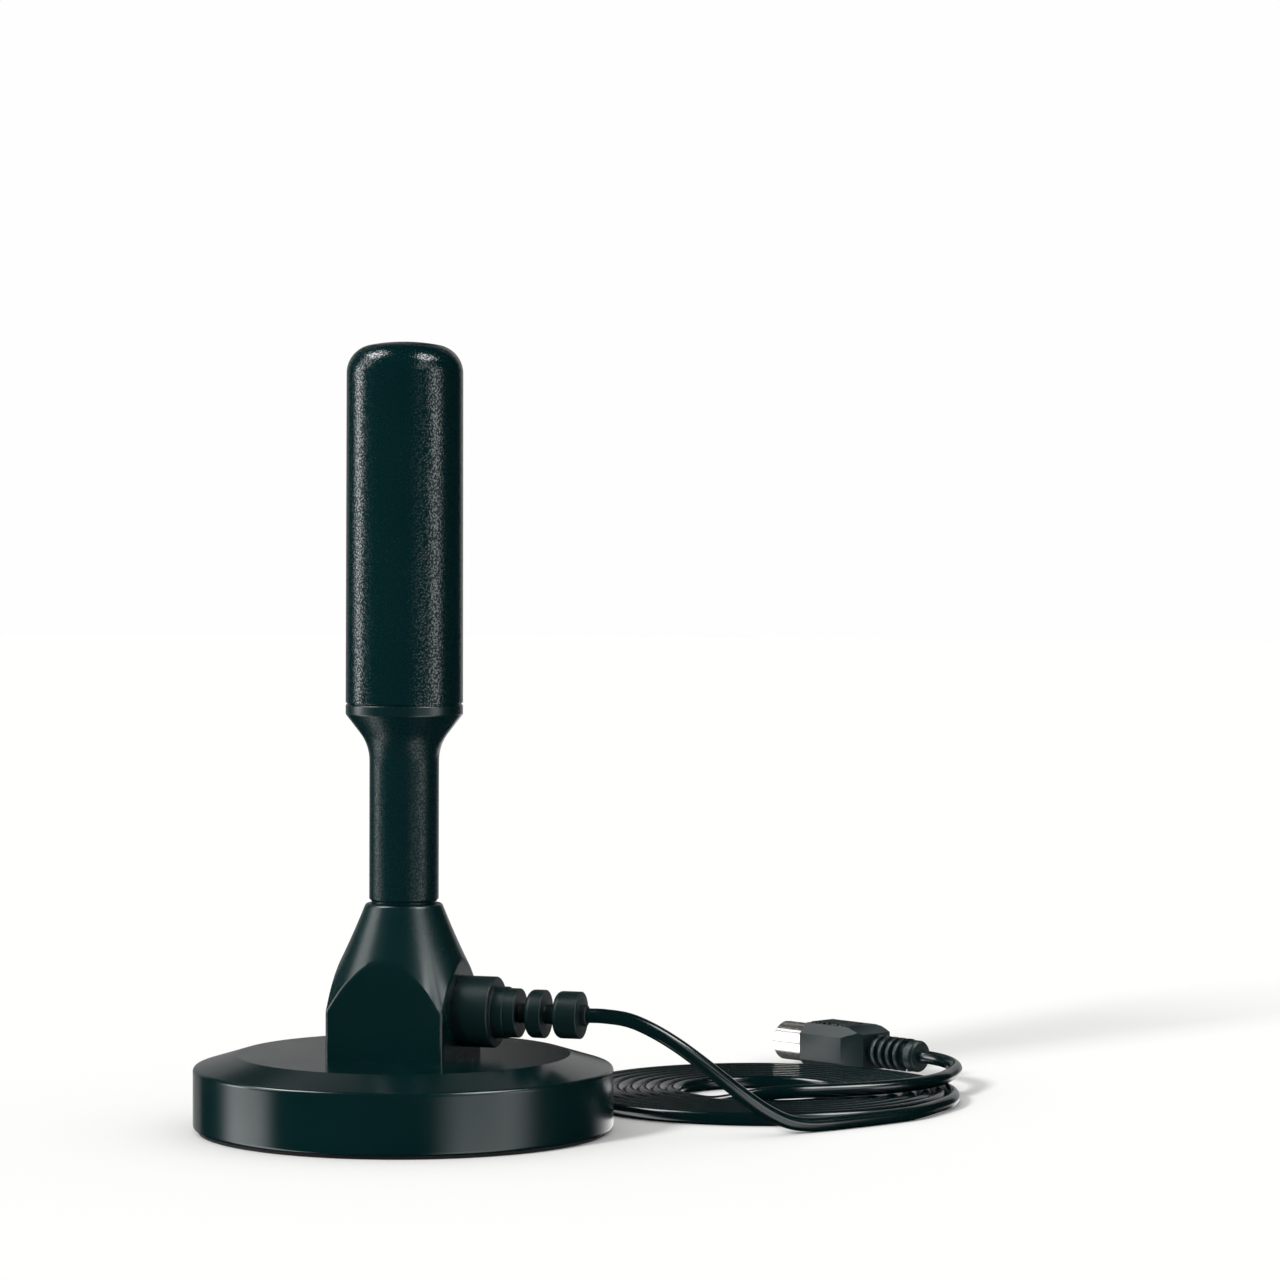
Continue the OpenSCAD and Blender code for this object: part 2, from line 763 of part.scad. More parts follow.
// Arc between two points, bulging to the right of the way from one to the other
function bulged(from, to, bulge) =
  let (
    half = norm(to - from) / 2,
    r = (half * half + bulge * bulge) / (2 * bulge),
    along = (to - from) / (2 * half),
    outward = [along[1], -along[0]],
    centre = (from + to) / 2 - (r - bulge) * outward,
    spread = asin(half / r)
  )
  [for (i = [0:arc_steps])
    let (a = -spread + 2 * spread * i / arc_steps)
    centre + r * (cos(a) * outward + sin(a) * along)];

// Plan of the body: straight on the side of the coil, curved on the other
module body_plan() {
  back = relief_len;
  polygon(concat(
    bulged([back, -plug_tail_w / 2], [body_front, -plug_w / 2], plug_bulge),
    [[body_front, plug_w / 2], [body_front - plug_straight, plug_w / 2], [back, plug_tail_w / 2]]
  ));
}

module body_section() {
  half_w = plug_w / 2 + plug_bulge;
  half_h = plug_h / 2;
  low_w = plug_w / 2;
  polygon([
    [half_h, -half_w + plug_bevel], [half_h, low_w - plug_bevel], [half_h - plug_bevel, low_w],
    [plug_bevel - half_h, low_w], [-half_h, low_w - plug_bevel], [-half_h, -half_w + plug_bevel],
    [plug_bevel - half_h, -half_w], [half_h - plug_bevel, -half_w]
  ]);
}

module plug_body() {
  back = relief_len;
  panel_front = body_front - panel_setback;
  panel_root = 0.5;
  pitch = panel_len / (grip_n + 1);
  full_x = body_front - plug_straight;
  color("#11191a") difference() {
    union() {
      intersection() {
        at_plug() translate([0, 0, -plug_h]) linear_extrude(height = 2 * plug_h) body_plan();
        along_plug(back) linear_extrude(height = plug_len) body_section();
        at_plug() translate([0, plug_w, 0]) rotate([90, 0, 0]) linear_extrude(height = 2 * plug_w) polygon([
          [back, -plug_tail_h / 2], [full_x, -plug_h / 2], [body_front, -plug_h / 2],
          [body_front, plug_h / 2], [full_x, plug_h / 2], [back, plug_tail_h / 2]
        ]);
      }
      // Raised grip panels above and below
      at_plug() for (side = [-1, 1])
        translate([panel_front - panel_len / 2, 0, side * (plug_h + panel_t - panel_root) / 2])
          cube([panel_len, panel_w, panel_t + panel_root], center = true);
    }
    // Grooves across the panels
    at_plug() for (side = [-1, 1], i = [1:grip_n])
      translate([panel_front - i * pitch, 0, side * (plug_h / 2 + panel_t)])
        cube([grip_w, panel_w + 2 * eps, 2 * panel_t], center = true);
    along_plug(body_front - shell_root) post(shell_r - root_step + seat_gap, shell_root + eps, ring_fn);
  }
}

module plug_shell() {
  bore_r = shell_r - shell_t;
  root_r = shell_r - root_step;
  color("#d5d8da") difference() {
    along_plug(body_front) turned([
      [bore_r, -shell_root], [root_r, -shell_root], [root_r, 0], [shell_r, 0],
      [shell_r, shell_len], [bore_r, shell_len]
    ], ring_fn);
    at_plug() translate([body_front, -shell_slit / 2, 0]) cube([shell_len + eps, shell_slit, shell_r + eps]);
  }
}

module plug_insulator() {
  color("#e8e6df") along_plug(body_front - shell_root) difference() {
    post(shell_r - shell_t - seat_gap, shell_root + insulator_len, ring_fn);
    translate([0, 0, -eps]) post(pin_r + seat_gap, shell_root + insulator_len + 2 * eps);
  }
}

module plug_pin() {
  tip = 0.5;
  length = shell_root + pin_len;
  color("#cfd2d4") along_plug(body_front - shell_root)
    turned([[0, 0], [pin_r, 0], [pin_r, length - tip], [pin_r - tip, length], [0, length]], small_fn);
}

base_cover();
bottom_plate();
foot_pad();
ring_magnet();
ballast_disc();
base_screws();
tower_screws();
cable_housing();
neck();
neck_nut();
radome();
matching_board();
winding_former();
winding();
foam_pad();
cord_gland();
gland_clip();
inner_lead();
cord_lead();
cord_coil();
cord_tail();
plug_relief();
plug_body();
plug_shell();
plug_insulator();
plug_pin();
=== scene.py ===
"""Dresses the indoor television antenna: its free cord, fine mouldings, finishes and studio."""

from __future__ import annotations

import json
import logging
import math
from dataclasses import dataclass
from enum import Enum
from typing import Any, Optional, Sequence

import bmesh
import bpy
from mathutils import Matrix, Vector

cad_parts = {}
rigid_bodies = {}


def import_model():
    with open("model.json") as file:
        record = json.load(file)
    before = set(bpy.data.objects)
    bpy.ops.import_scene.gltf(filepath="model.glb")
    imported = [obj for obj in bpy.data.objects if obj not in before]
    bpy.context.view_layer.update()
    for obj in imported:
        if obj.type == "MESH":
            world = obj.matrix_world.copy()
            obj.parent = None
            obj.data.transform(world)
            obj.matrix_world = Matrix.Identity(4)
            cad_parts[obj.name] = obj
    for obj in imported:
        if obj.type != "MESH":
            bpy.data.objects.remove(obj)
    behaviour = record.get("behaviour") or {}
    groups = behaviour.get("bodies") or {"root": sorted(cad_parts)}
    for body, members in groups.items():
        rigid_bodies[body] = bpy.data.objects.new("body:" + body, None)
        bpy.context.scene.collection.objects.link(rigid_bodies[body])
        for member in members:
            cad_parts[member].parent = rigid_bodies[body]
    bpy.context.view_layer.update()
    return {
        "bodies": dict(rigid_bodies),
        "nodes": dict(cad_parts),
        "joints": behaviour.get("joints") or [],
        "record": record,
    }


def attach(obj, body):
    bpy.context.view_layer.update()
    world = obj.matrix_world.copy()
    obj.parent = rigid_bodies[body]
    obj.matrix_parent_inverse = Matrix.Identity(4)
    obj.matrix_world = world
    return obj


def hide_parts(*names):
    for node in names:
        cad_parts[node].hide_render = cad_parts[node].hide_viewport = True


log = logging.getLogger("antenna")

MM = 0.001

# The photograph looks at the antenna a little from its left, so the tower's front face is turned away
VIEW_TURN = math.radians(16.4)

# Points of a new mesh that are nearer than this are one, in mm
SAME_SPOT = 1e-4
# The loose triangles of a CAD piece are joined within this, in mm
CAD_JOIN = 2e-3

# Fillets of the edges that a mould or a tool leaves almost sharp, in mm
CRISP = 0.1
FINE = 0.15
EASED = 0.2
SOFT = 0.25

Point = tuple[float, float]
Spot = tuple[float, float, float]
Tree = bpy.types.NodeTree
Socket = bpy.types.NodeSocket
Piece = bpy.types.Object
Mesh = bmesh.types.BMesh


def linear(hex_code: str) -> tuple[float, float, float, float]:
    """Turns an sRGB hex colour into linear red, green, blue and alpha.

    Args:
        hex_code: six hex digits, with or without a leading mark.

    Returns:
        The linear colour, with an alpha of one.
    """
    digits = hex_code.lstrip("#")
    shares = [int(digits[i:i + 2], 16) / 255 for i in (0, 2, 4)]
    red, green, blue = (s / 12.92 if s <= 0.04045 else ((s + 0.055) / 1.055) ** 2.4 for s in shares)
    return red, green, blue, 1.0


def add_node(tree: Tree, kind: str, inputs: Optional[dict[Any, Any]] = None,
             **settings: Any) -> bpy.types.Node:
    """Adds a node, sets its properties, and fills or links its inputs.

    Args:
        tree: the node tree that gets the node.
        kind: the node's type name.
        inputs: socket name or number to a value, or to the output socket that feeds it.
        **settings: properties of the node itself.

    Returns:
        The new node.
    """
    node = tree.nodes.new(kind)
    for name, value in settings.items():
        setattr(node, name, value)
    for name, value in (inputs or {}).items():
        if isinstance(value, Socket):
            tree.links.new(value, node.inputs[name])
        else:
            node.inputs[name].default_value = value
    return node


class Grain(Enum):
    """The textures that a mould gives a moulding."""

    POLISHED = "polished"
    LEATHER = "leather"
    SPARKED = "sparked"


@dataclass(frozen=True)
class Finish:
    """A surface: its colour, its gloss, and how both drift over a piece."""

    name: str
    colour: str
    roughness: float
    ior: float = 1.5
    colour_drift: float = 0.12
    gloss_drift: float = 0.06
    drift_mm: float = 24.0

    def material(self) -> bpy.types.Material:
        """Builds the material, or gives back the one already built.

        Returns:
            The material named for this finish.
        """
        known = bpy.data.materials.get(self.name)
        if known:
            return known
        made = bpy.data.materials.new(self.name)
        made.use_nodes = True
        tree = made.node_tree
        tree.nodes.clear()
        metres = add_node(tree, "ShaderNodeTexCoord").outputs["Object"]
        # A pattern's scale stops at 1000, so the patterns are laid in millimetres
        place = add_node(tree, "ShaderNodeVectorMath", {0: metres, "Scale": 1 / MM}, operation="SCALE")
        shader = add_node(tree, "ShaderNodeBsdfPrincipled", {"IOR": self.ior})
        self.dress(tree, place.outputs["Vector"], shader)
        add_node(tree, "ShaderNodeOutputMaterial", {"Surface": shader.outputs["BSDF"]})
        return made

    def dress(self, tree: Tree, place: Socket, shader: bpy.types.Node) -> None:
        """Links the drifting colour and gloss to the shader.

        Args:
            tree: the material's node tree.
            place: Object coordinates, in mm.
            shader: the surface shader.
        """
        cloud = add_node(tree, "ShaderNodeTexNoise", {
            "Vector": place, "Scale": 1 / self.drift_mm, "Detail": 3.0, "Roughness": 0.55,
        }).outputs["Fac"]
        base = linear(self.colour)[:3]
        darker = tuple(c * (1 - self.colour_drift) for c in base) + (1.0,)
        lighter = tuple(c * (1 + self.colour_drift) for c in base) + (1.0,)
        colour = add_node(tree, "ShaderNodeMix", {0: cloud, 6: darker, 7: lighter}, data_type="RGBA")
        # Nearly all of the noise lies between 0.3 and 0.7, so the gloss drifts over its full span
        gloss = add_node(tree, "ShaderNodeMapRange", {
            "Value": cloud, "From Min": 0.3, "From Max": 0.7,
            "To Min": self.roughness - self.gloss_drift, "To Max": self.roughness + self.gloss_drift,
        })
        tree.links.new(colour.outputs[2], shader.inputs["Base Color"])
        tree.links.new(gloss.outputs["Result"], shader.inputs["Roughness"])


@dataclass(frozen=True)
class Moulded(Finish):
    """A moulded plastic or rubber, with the texture of its mould."""

    grain: Grain = Grain.POLISHED
    grain_mm: float = 2.6
    depth_mm: float = 0.004
    # Reflection level in the creases, lowered there as painted shade
    shaded_crease_shine: float = 0.12
    crown_shine: float = 1.05

    def dress(self, tree: Tree, place: Socket, shader: bpy.types.Node) -> None:
        """Adds the mould's texture to the common colour and gloss, and for leather grain painted shade that
        dims the reflection in the creases.

        Args:
            tree: the material's node tree.
            place: Object coordinates, in mm.
            shader: the surface shader.
        """
        super().dress(tree, place, shader)
        height = self.height(tree, place)
        relief = add_node(tree, "ShaderNodeBump", {
            "Strength": 1.0, "Distance": self.depth_mm * MM, "Height": height,
        })
        tree.links.new(relief.outputs["Normal"], shader.inputs["Normal"])
        if self.grain is Grain.LEATHER:
            # Painted shade: the reflection is dimmed in the creases between the grains and kept full on
            # their crowns
            shine = add_node(tree, "ShaderNodeMapRange", {
                "Value": height, "From Min": 0.25, "From Max": 0.7,
                "To Min": self.shaded_crease_shine, "To Max": self.crown_shine,
            })
            tree.links.new(shine.outputs["Result"], shader.inputs["Specular IOR Level"])

    def height(self, tree: Tree, place: Socket) -> Socket:
        """Gives the height of the moulded surface.

        Args:
            tree: the material's node tree.
            place: Object coordinates, in mm.

        Returns:
            The height, from 0 to 1.
        """
        if self.grain is Grain.LEATHER:
            return self.leather(tree, place)
        # Spark erosion leaves a crumbly surface, and polish a gently waved one
        detail = 4.0 if self.grain is Grain.SPARKED else 1.0
        return add_node(tree, "ShaderNodeTexNoise", {
            "Vector": place, "Scale": 1 / self.grain_mm, "Detail": detail,
        }).outputs["Fac"]

    def leather(self, tree: Tree, place: Socket) -> Socket:
        """Gives the height of rounded grains with creases between them, broken up by a finer noise.

        Args:
            tree: the material's node tree.
            place: Object coordinates, in mm.

        Returns:
            The height, from 0 to 1.
        """
        scale = 1 / self.grain_mm
        bend_scale, bend_mm = scale * 0.6, 0.5 * self.grain_mm
        fine_scale, fine_share = scale * 1.9, 0.35
        bent = add_node(tree, "ShaderNodeTexNoise", {"Vector": place, "Scale": bend_scale, "Detail": 2.0})
        shift = add_node(tree, "ShaderNodeVectorMath", {0: bent.outputs["Color"], "Scale": bend_mm},
                         operation="SCALE")
        moved = add_node(tree, "ShaderNodeVectorMath", {0: place, 1: shift.outputs["Vector"]},
                         operation="ADD")
        cells = add_node(tree, "ShaderNodeTexVoronoi", {
            "Vector": moved.outputs["Vector"], "Scale": scale, "Smoothness": 0.4, "Randomness": 1.0,
        }, feature="SMOOTH_F1")
        crown = add_node(tree, "ShaderNodeMapRange", {
            "Value": cells.outputs["Distance"],
            "From Min": 0.0, "From Max": 0.7, "To Min": 1.0, "To Max": 0.0,
        })
        fine = add_node(tree, "ShaderNodeTexNoise", {"Vector": place, "Scale": fine_scale, "Detail": 2.0})
        return add_node(tree, "ShaderNodeMix", {
            0: fine_share, 2: crown.outputs["Result"], 3: fine.outputs["Fac"],
        }, data_type="FLOAT").outputs[0]


@dataclass(frozen=True)
class Metal(Finish):
    """A bare or plated metal, with the fine relief of its working."""

    # A little under 1, because the surface's haze scatters the rest
    metallic: float = 0.85
    line_mm: float = 0.12
    depth_mm: float = 0.0006
    # Less than 1 along an axis draws the relief out to lines along it
    stretch: Spot = (1.0, 1.0, 1.0)

    def dress(self, tree: Tree, place: Socket, shader: bpy.types.Node) -> None:
        """Adds the metal's own shine and relief to the common colour and gloss.

        Args:
            tree: the material's node tree.
            place: Object coordinates, in mm.
            shader: the surface shader.
        """
        super().dress(tree, place, shader)
        shader.inputs["Metallic"].default_value = self.metallic
        drawn = add_node(tree, "ShaderNodeVectorMath", {0: place, 1: self.stretch}, operation="MULTIPLY")
        lines = add_node(tree, "ShaderNodeTexNoise", {
            "Vector": drawn.outputs["Vector"], "Scale": 1 / self.line_mm, "Detail": 2.0,
        })
        relief = add_node(tree, "ShaderNodeBump", {
            "Strength": 1.0, "Distance": self.depth_mm * MM, "Height": lines.outputs["Fac"],
        })
        tree.links.new(relief.outputs["Normal"], shader.inputs["Normal"])


# Black ABS with a faint teal cast, from a polished mould: soft but clear reflections
BASE_ABS = Moulded("Satin black ABS", "#021b1c", 0.19, gloss_drift=0.03)
# The same plastic on the tower, from a mould with a dull polish: broad, soft highlights
TOWER_ABS = Moulded("Dull polished black ABS", "#021d1e", 0.27, gloss_drift=0.04, grain_mm=1.4)
# The cap's mould is etched like fine leather: the highlights break into grains, through the relief and
# through painted shade that dims the reflection in the creases
CAP_ABS = Moulded("Leather grained black ABS", "#021c1e", 0.2, gloss_drift=0.03, grain=Grain.LEATHER,
                  grain_mm=0.48, depth_mm=0.036, shaded_crease_shine=0.1, crown_shine=1.05)
# The stem has a finer and shallower grain of the same kind, with the same painted shade in its creases
STEM_ABS = Moulded("Fine grained black ABS", "#021c1e", 0.28, gloss_drift=0.03, grain=Grain.LEATHER,
                   grain_mm=0.44, depth_mm=0.016, shaded_crease_shine=0.12, crown_shine=0.5)
# Flexible PVC of the gland and the plug, from a spark eroded mould: dull, with no clear reflection
SOFT_PVC = Moulded("Soft black PVC", "#021718", 0.46, grain=Grain.SPARKED, grain_mm=0.35, depth_mm=0.01)
# The cord's jacket is drawn through a die, so it is smooth and glossy, with long waves
CORD_PVC = Moulded("Drawn black PVC jacket", "#021516", 0.2, gloss_drift=0.03, grain_mm=4.0, depth_mm=0.02)
# Sheet rubber with a dusty, matt skin
PAD_RUBBER = Moulded("Black sheet rubber", "#0a0b0b", 0.8, grain=Grain.SPARKED, grain_mm=0.4, depth_mm=0.02)
# Natural polyethylene round the pin: waxy white
WHITE_PE = Moulded("Natural white polyethylene", "#e6e3da", 0.45, colour_drift=0.03)
# Nylon 6 of the winding former: milky, slightly yellow
FORMER_NYLON = Moulded("Natural nylon", "#d8d3c2", 0.5, colour_drift=0.04)
# Glass fibre laminate under green solder resist: smooth, with a dull gloss
BOARD_LAMINATE = Moulded("Green glass fibre laminate", "#1f5a3a", 0.35, colour_drift=0.1)
# Open-cell foam: dull grey, with pores
PAD_FOAM = Moulded("Grey open-cell foam", "#3a3c3f", 0.95, grain=Grain.SPARKED, grain_mm=0.8, depth_mm=0.15)
# Sintered ferrite: dark grey and faintly glossy, with a fine grit
FERRITE = Moulded("Sintered ferrite", "#26262a", 0.55, ior=2.0, grain=Grain.SPARKED, grain_mm=0.5,
                  depth_mm=0.01)
# Bright nickel plate over drawn brass: mirror-like, with a faint haze
NICKEL = Metal("Bright nickel plate", "#d3d1cc", 0.13, colour_drift=0.03, gloss_drift=0.03)
# Zinc plated steel of the screws and the clip: grey and softly bright
ZINC = Metal("Zinc plated steel", "#a9adb2", 0.3, colour_drift=0.06)
# Cold rolled steel of the ballast disc: dull, with its rolling lines along one way
ROLLED_STEEL = Metal("Cold rolled steel", "#8d9194", 0.38, stretch=(1.0, 0.05, 1.0), depth_mm=0.002)
# Machined brass of the nut: yellow and bright
BRASS = Metal("Machined brass", "#b9a14c", 0.25)
# Enamelled copper wire: the red metal shows through its clear lacquer
COPPER = Metal("Enamelled copper wire", "#b8733a", 0.28)

# Finishes of the CAD pieces that keep their own meshes
INNER_FINISHES = {
    "bottom_plate": BASE_ABS,
    "foot_pad": PAD_RUBBER,
    "ring_magnet": FERRITE,
    "ballast_disc": ROLLED_STEEL,
    "base_screws": ZINC,
    "tower_screws": ZINC,
    "neck_nut": BRASS,
    "matching_board": BOARD_LAMINATE,
    "winding_former": FORMER_NYLON,
    "winding": COPPER,
    "foam_pad": PAD_FOAM,
    "gland_clip": ZINC,
    "inner_lead": CORD_PVC,
}


def arc(centre: Point, radius: float, start: float, stop: float, steps: int) -> list[Point]:
    """Places points on an arc.

    Args:
        centre: its centre.
        radius: its radius.
        start: angle of its first point, in degrees.
        stop: angle of its last point.
        steps: the number of chords.

    Returns:
        The points, from first to last.
    """
    turns = [math.radians(start + (stop - start) * i / steps) for i in range(steps + 1)]
    return [(centre[0] + radius * math.cos(t), centre[1] + radius * math.sin(t)) for t in turns]


def filleted(corners: Sequence[Spot], step: float = 12.0) -> list[Point]:
    """Rounds the corners of an outline.

    Args:
        corners: x, y and fillet radius of each corner; a fillet of 0 leaves it sharp.
        step: the turn of one chord, in degrees.

    Returns:
        The outline's points. The first and the last corner stay sharp.
    """
    points: list[Point] = []
    for i, (x, y, fillet) in enumerate(corners):
        here = Vector((x, y))
        if fillet <= 0 or i in (0, len(corners) - 1):
            points.append((x, y))
            continue
        back = (Vector(corners[i - 1][:2]) - here).normalized()
        ahead = (Vector(corners[i + 1][:2]) - here).normalized()
        half = back.angle(ahead) / 2
        centre = here + (back + ahead).normalized() * fillet / math.sin(half)
        first = here + back * fillet / math.tan(half) - centre
        swing = first.angle_signed(here + ahead * fillet / math.tan(half) - centre)
        steps = max(2, round(abs(math.degrees(swing)) / step))
        for k in range(steps + 1):
            turned_by = Matrix.Rotation(-swing * k / steps, 2)
            points.append(tuple(centre + turned_by @ first))
    return points


def finished(mesh: Mesh, name: str, finish: Finish, sharp_degrees: float = 40.0) -> Piece:
    """Makes an object of a mesh in millimetres, with smooth faces and its finish.

    Args:
        mesh: the mesh, which is freed.
        name: the object's name.
        finish: its finish.
        sharp_degrees: edges that turn more than this stay sharp.

    Returns:
        The object, at the origin, in the scene.
    """
    bmesh.ops.scale(mesh, vec=(MM, MM, MM), verts=mesh.verts)
    data = bpy.data.meshes.new(name)
    mesh.to_mesh(data)
    mesh.free()
    data.shade_smooth()
    data.set_sharp_from_angle(angle=math.radians(sharp_degrees))
    data.materials.append(finish.material())
    piece = bpy.data.objects.new(name, data)
    bpy.context.collection.objects.link(piece)
    # Flat faces keep their own normal beside a fillet, so they mirror flat
    weights = piece.modifiers.new("Weighted normals", "WEIGHTED_NORMAL")
    weights.keep_sharp = True
    return piece


def seated(piece: Piece, node: str) -> Piece:
    """Seats a piece on the body in place of its CAD node.

    Args:
        piece: the piece.
        node: the CAD node that it stands for.

    Returns:
        The same piece.
    """
    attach(piece, "root")
    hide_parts(node)
    log.info(piece.name)
    return piece


def turned(outline: Sequence[Point], steps: int = 192, loop: bool = False,
           place: Matrix = Matrix.Identity(4), sweep: float = 360.0) -> Mesh:
    """Turns an outline about its axis.

    Args:
        outline: radius and height of each point, in mm.
        steps: faces round the axis.
        loop: whether the outline closes on itself; otherwise it starts and ends on the axis.
        place: where the turned shape goes.
        sweep: how far it is turned, in degrees.

    Returns:
        A closed mesh in mm.
    """
    mesh = bmesh.new()
    corners = [mesh.verts.new((r, 0.0, z)) for r, z in outline]
    start: list[Any] = list(corners)
    if sweep < 360:
        start.append(mesh.faces.new(corners))
        start += mesh.edges[:]
    else:
        pairs = list(zip(corners, corners[1:] + corners[:1]))
        start += [mesh.edges.new(pair) for pair in (pairs if loop else pairs[:-1])]
    bmesh.ops.spin(mesh, geom=start, cent=(0, 0, 0), axis=(0, 0, 1), angle=math.radians(sweep),
                   steps=steps, use_merge=sweep >= 360)
    bmesh.ops.remove_doubles(mesh, verts=mesh.verts, dist=SAME_SPOT)
    bmesh.ops.recalc_face_normals(mesh, faces=mesh.faces)
    mesh.transform(place)
    return mesh


def softened_copy(node: Piece, bevel_mm: float, segments: int = 2, angle: float = 30.0,
                  flat: float = 1.0) -> Mesh:
    """Copies a CAD piece with its flat faces whole and its sharp edges eased.

    Args:
        node: the CAD piece.
        bevel_mm: width of the eased edge.
        segments: faces across it.
        angle: edges that turn more than this many degrees are eased.
        flat: faces that turn less than this many degrees become one.

    Returns:
        The mesh, in mm.
    """
    mesh = bmesh.new()
    mesh.from_mesh(node.data)
    bmesh.ops.scale(mesh, vec=(1 / MM, 1 / MM, 1 / MM), verts=mesh.verts)
    bmesh.ops.remove_doubles(mesh, verts=mesh.verts, dist=CAD_JOIN)
    bmesh.ops.dissolve_limit(mesh, angle_limit=math.radians(flat), verts=mesh.verts, edges=mesh.edges)
    paired = [e for e in mesh.edges if len(e.link_faces) == 2]
    sharp = [e for e in paired if e.calc_face_angle(0.0) > math.radians(angle)]
    bmesh.ops.bevel(mesh, geom=sharp, affect="EDGES", offset=bevel_mm, segments=segments, profile=0.5,
                    material=-1, clamp_overlap=True)
    bmesh.ops.recalc_face_normals(mesh, faces=mesh.faces)
    return mesh


@dataclass
class FreeCord:
    """The cord: a lead from the gland to the floor, a flat coil, and a tail across it to the plug."""

    diameter_mm: float = 3.2
    declared_length: float = 1.8
    coil_centre_mm: Point = (63.0, 70.0)
    outer_mm: float = 44.8
    outer_angle: float = -15.0
    end_angle: float = -110.0
    turns: int = 8
    points_a_turn: int = 24
    plug_yaw: float = 150.0
    # Chords from one point to the next, and the steps of the round section
    chords: int = 6
    section_steps: int = 5
    # The lead runs straight out of the gland, sags to the floor and joins the outermost turn
    lead_mm: tuple[Spot, ...] = (
        (42.4, 0, 26.7), (46, 0, 26.7), (51.5, 0.5, 26), (56.5, 1.2, 24), (61.8, 2.5, 20.8),
        (66.6, 4.5, 17), (71.2, 7.2, 12.8), (75.5, 10.6, 8.7), (79.4, 14.4, 5.2), (83, 18.4, 2.8),
        (86.5, 22.5, 1.8), (90, 26.9, 1.6), (93.2, 31.3, 1.6), (96.2, 35.6, 1.6), (99.1, 40.1, 1.6),
        (101.8, 44.6, 1.6), (104.2, 49.3, 1.6),
    )
    # The innermost turn climbs beside its neighbour before it crosses: angle, radius and height
    climb: tuple[Spot, ...] = ((-96, 19.95, 2.4), (-82, 20.3, 3.6), (-68, 21.0, 4.5))
    # The tail lies across the turns and leaves them for the plug
    tail_mm: tuple[Spot, ...] = (
        (75.5, 52, 4.8), (80.7, 55.4, 4.8), (86.2, 59.3, 4.8), (91.8, 64.2, 4.8), (96.8, 70.3, 4.8),
        (100.6, 77.6, 4.8), (102.5, 84.5, 4.8), (102.9, 91, 4.8), (102.9, 96.9, 5), (102.3, 101.7, 5.2),
        (100.4, 106.2, 5.5), (97.4, 110, 5.8), (93.6, 113, 5.95), (91, 114.5, 5.95),
    )

    def on_coil(self, angle: float, radius: float, height: float) -> Vector:
        """Gives a point round the coil's middle.

        Args:
            angle: its angle, in degrees.
            radius: its distance from the middle, in mm.
            height: its height, in mm.

        Returns:
            The point, in mm.
        """
        turn = math.radians(angle)
        x, y = self.coil_centre_mm
        return Vector((x + radius * math.cos(turn), y + radius * math.sin(turn), height))

    def coil(self) -> list[Vector]:
        """Winds the coil inwards, one diameter a turn.

        Returns:
            The points of its centreline.
        """
        last = self.end_angle + 360 * self.turns
        count = round((last - self.outer_angle) / 360 * self.points_a_turn)
        points = []
        for i in range(count + 1):
            angle = self.outer_angle + (last - self.outer_angle) * i / count
            wound_in = self.diameter_mm * (angle - self.outer_angle) / 360
            points.append(self.on_coil(angle, self.outer_mm - wound_in, self.diameter_mm / 2))
        return points

    def route(self) -> list[Vector]:
        """Joins the lead, the coil and the tail.

        Returns:
            The whole centreline, from the gland to the plug, in mm.
        """
        lead = [Vector(p) for p in self.lead_mm]
        rising = [self.on_coil(*p) for p in self.climb]
        return lead + self.coil() + rising + [Vector(p) for p in self.tail_mm]

    def build(self) -> Piece:
        """Draws the cord as one smooth curve of its own thickness.

        Returns:
            The curve object.
        """
        points = [p * MM for p in self.route()]
        curve = bpy.data.curves.new("cord", "CURVE")
        curve.dimensions = "3D"
        curve.resolution_u = self.chords
        curve.bevel_depth = self.diameter_mm * MM / 2
        curve.bevel_resolution = self.section_steps
        curve.use_fill_caps = True
        spline = curve.splines.new("BEZIER")
        spline.bezier_points.add(len(points) - 1)
        for i, (knot, here) in enumerate(zip(spline.bezier_points, points)):
            before = points[max(i - 1, 0)]
            after = points[min(i + 1, len(points) - 1)]
            heading = (after - before).normalized()
            knot.handle_left_type = knot.handle_right_type = "FREE"
            knot.co = here
            knot.handle_left = here - heading * (here - before).length / 3
            knot.handle_right = here + heading * (after - here).length / 3
        curve.materials.append(CORD_PVC.material())
        cord = bpy.data.objects.new("cord", curve)
        bpy.context.collection.objects.link(cord)
        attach(cord, "root")
        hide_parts("cord_lead", "cord_coil", "cord_tail")
        log.info("cord")
        return cord


@dataclass
class Base:
    """The round base: one glossy cover over the weight."""

    radius: float = 46.3
    wall_top: float = 14.0
    plateau_radius: float = 36.7
    plateau: float = 16.9
    hem: float = 0.8
    wall: float = 2.2
    top_wall: float = 2.5
    # The rim above the wall is rounded wide enough to catch the light as a thin line
    rim_round: float = 0.9
    hem_round: float = 0.8
    plateau_round: float = 0.5
    inner_round: float = 0.5

    def build(self) -> None:
        """Turns the cover's shell."""
        inside = self.radius - self.wall
        ceiling = self.plateau - self.top_wall
        outline = filleted([
            (0, self.plateau, 0), (self.plateau_radius, self.plateau, self.plateau_round),
            (self.radius, self.wall_top, self.rim_round), (self.radius, self.hem, self.hem_round),
            (inside, self.hem, EASED), (inside, self.wall_top - self.top_wall, self.inner_round),
            (self.plateau_radius - self.wall / 2, ceiling, self.inner_round), (0, ceiling, 0),
        ], step=10)
        seated(finished(turned(outline, steps=256), "base_moulding", BASE_ABS), "base_cover")


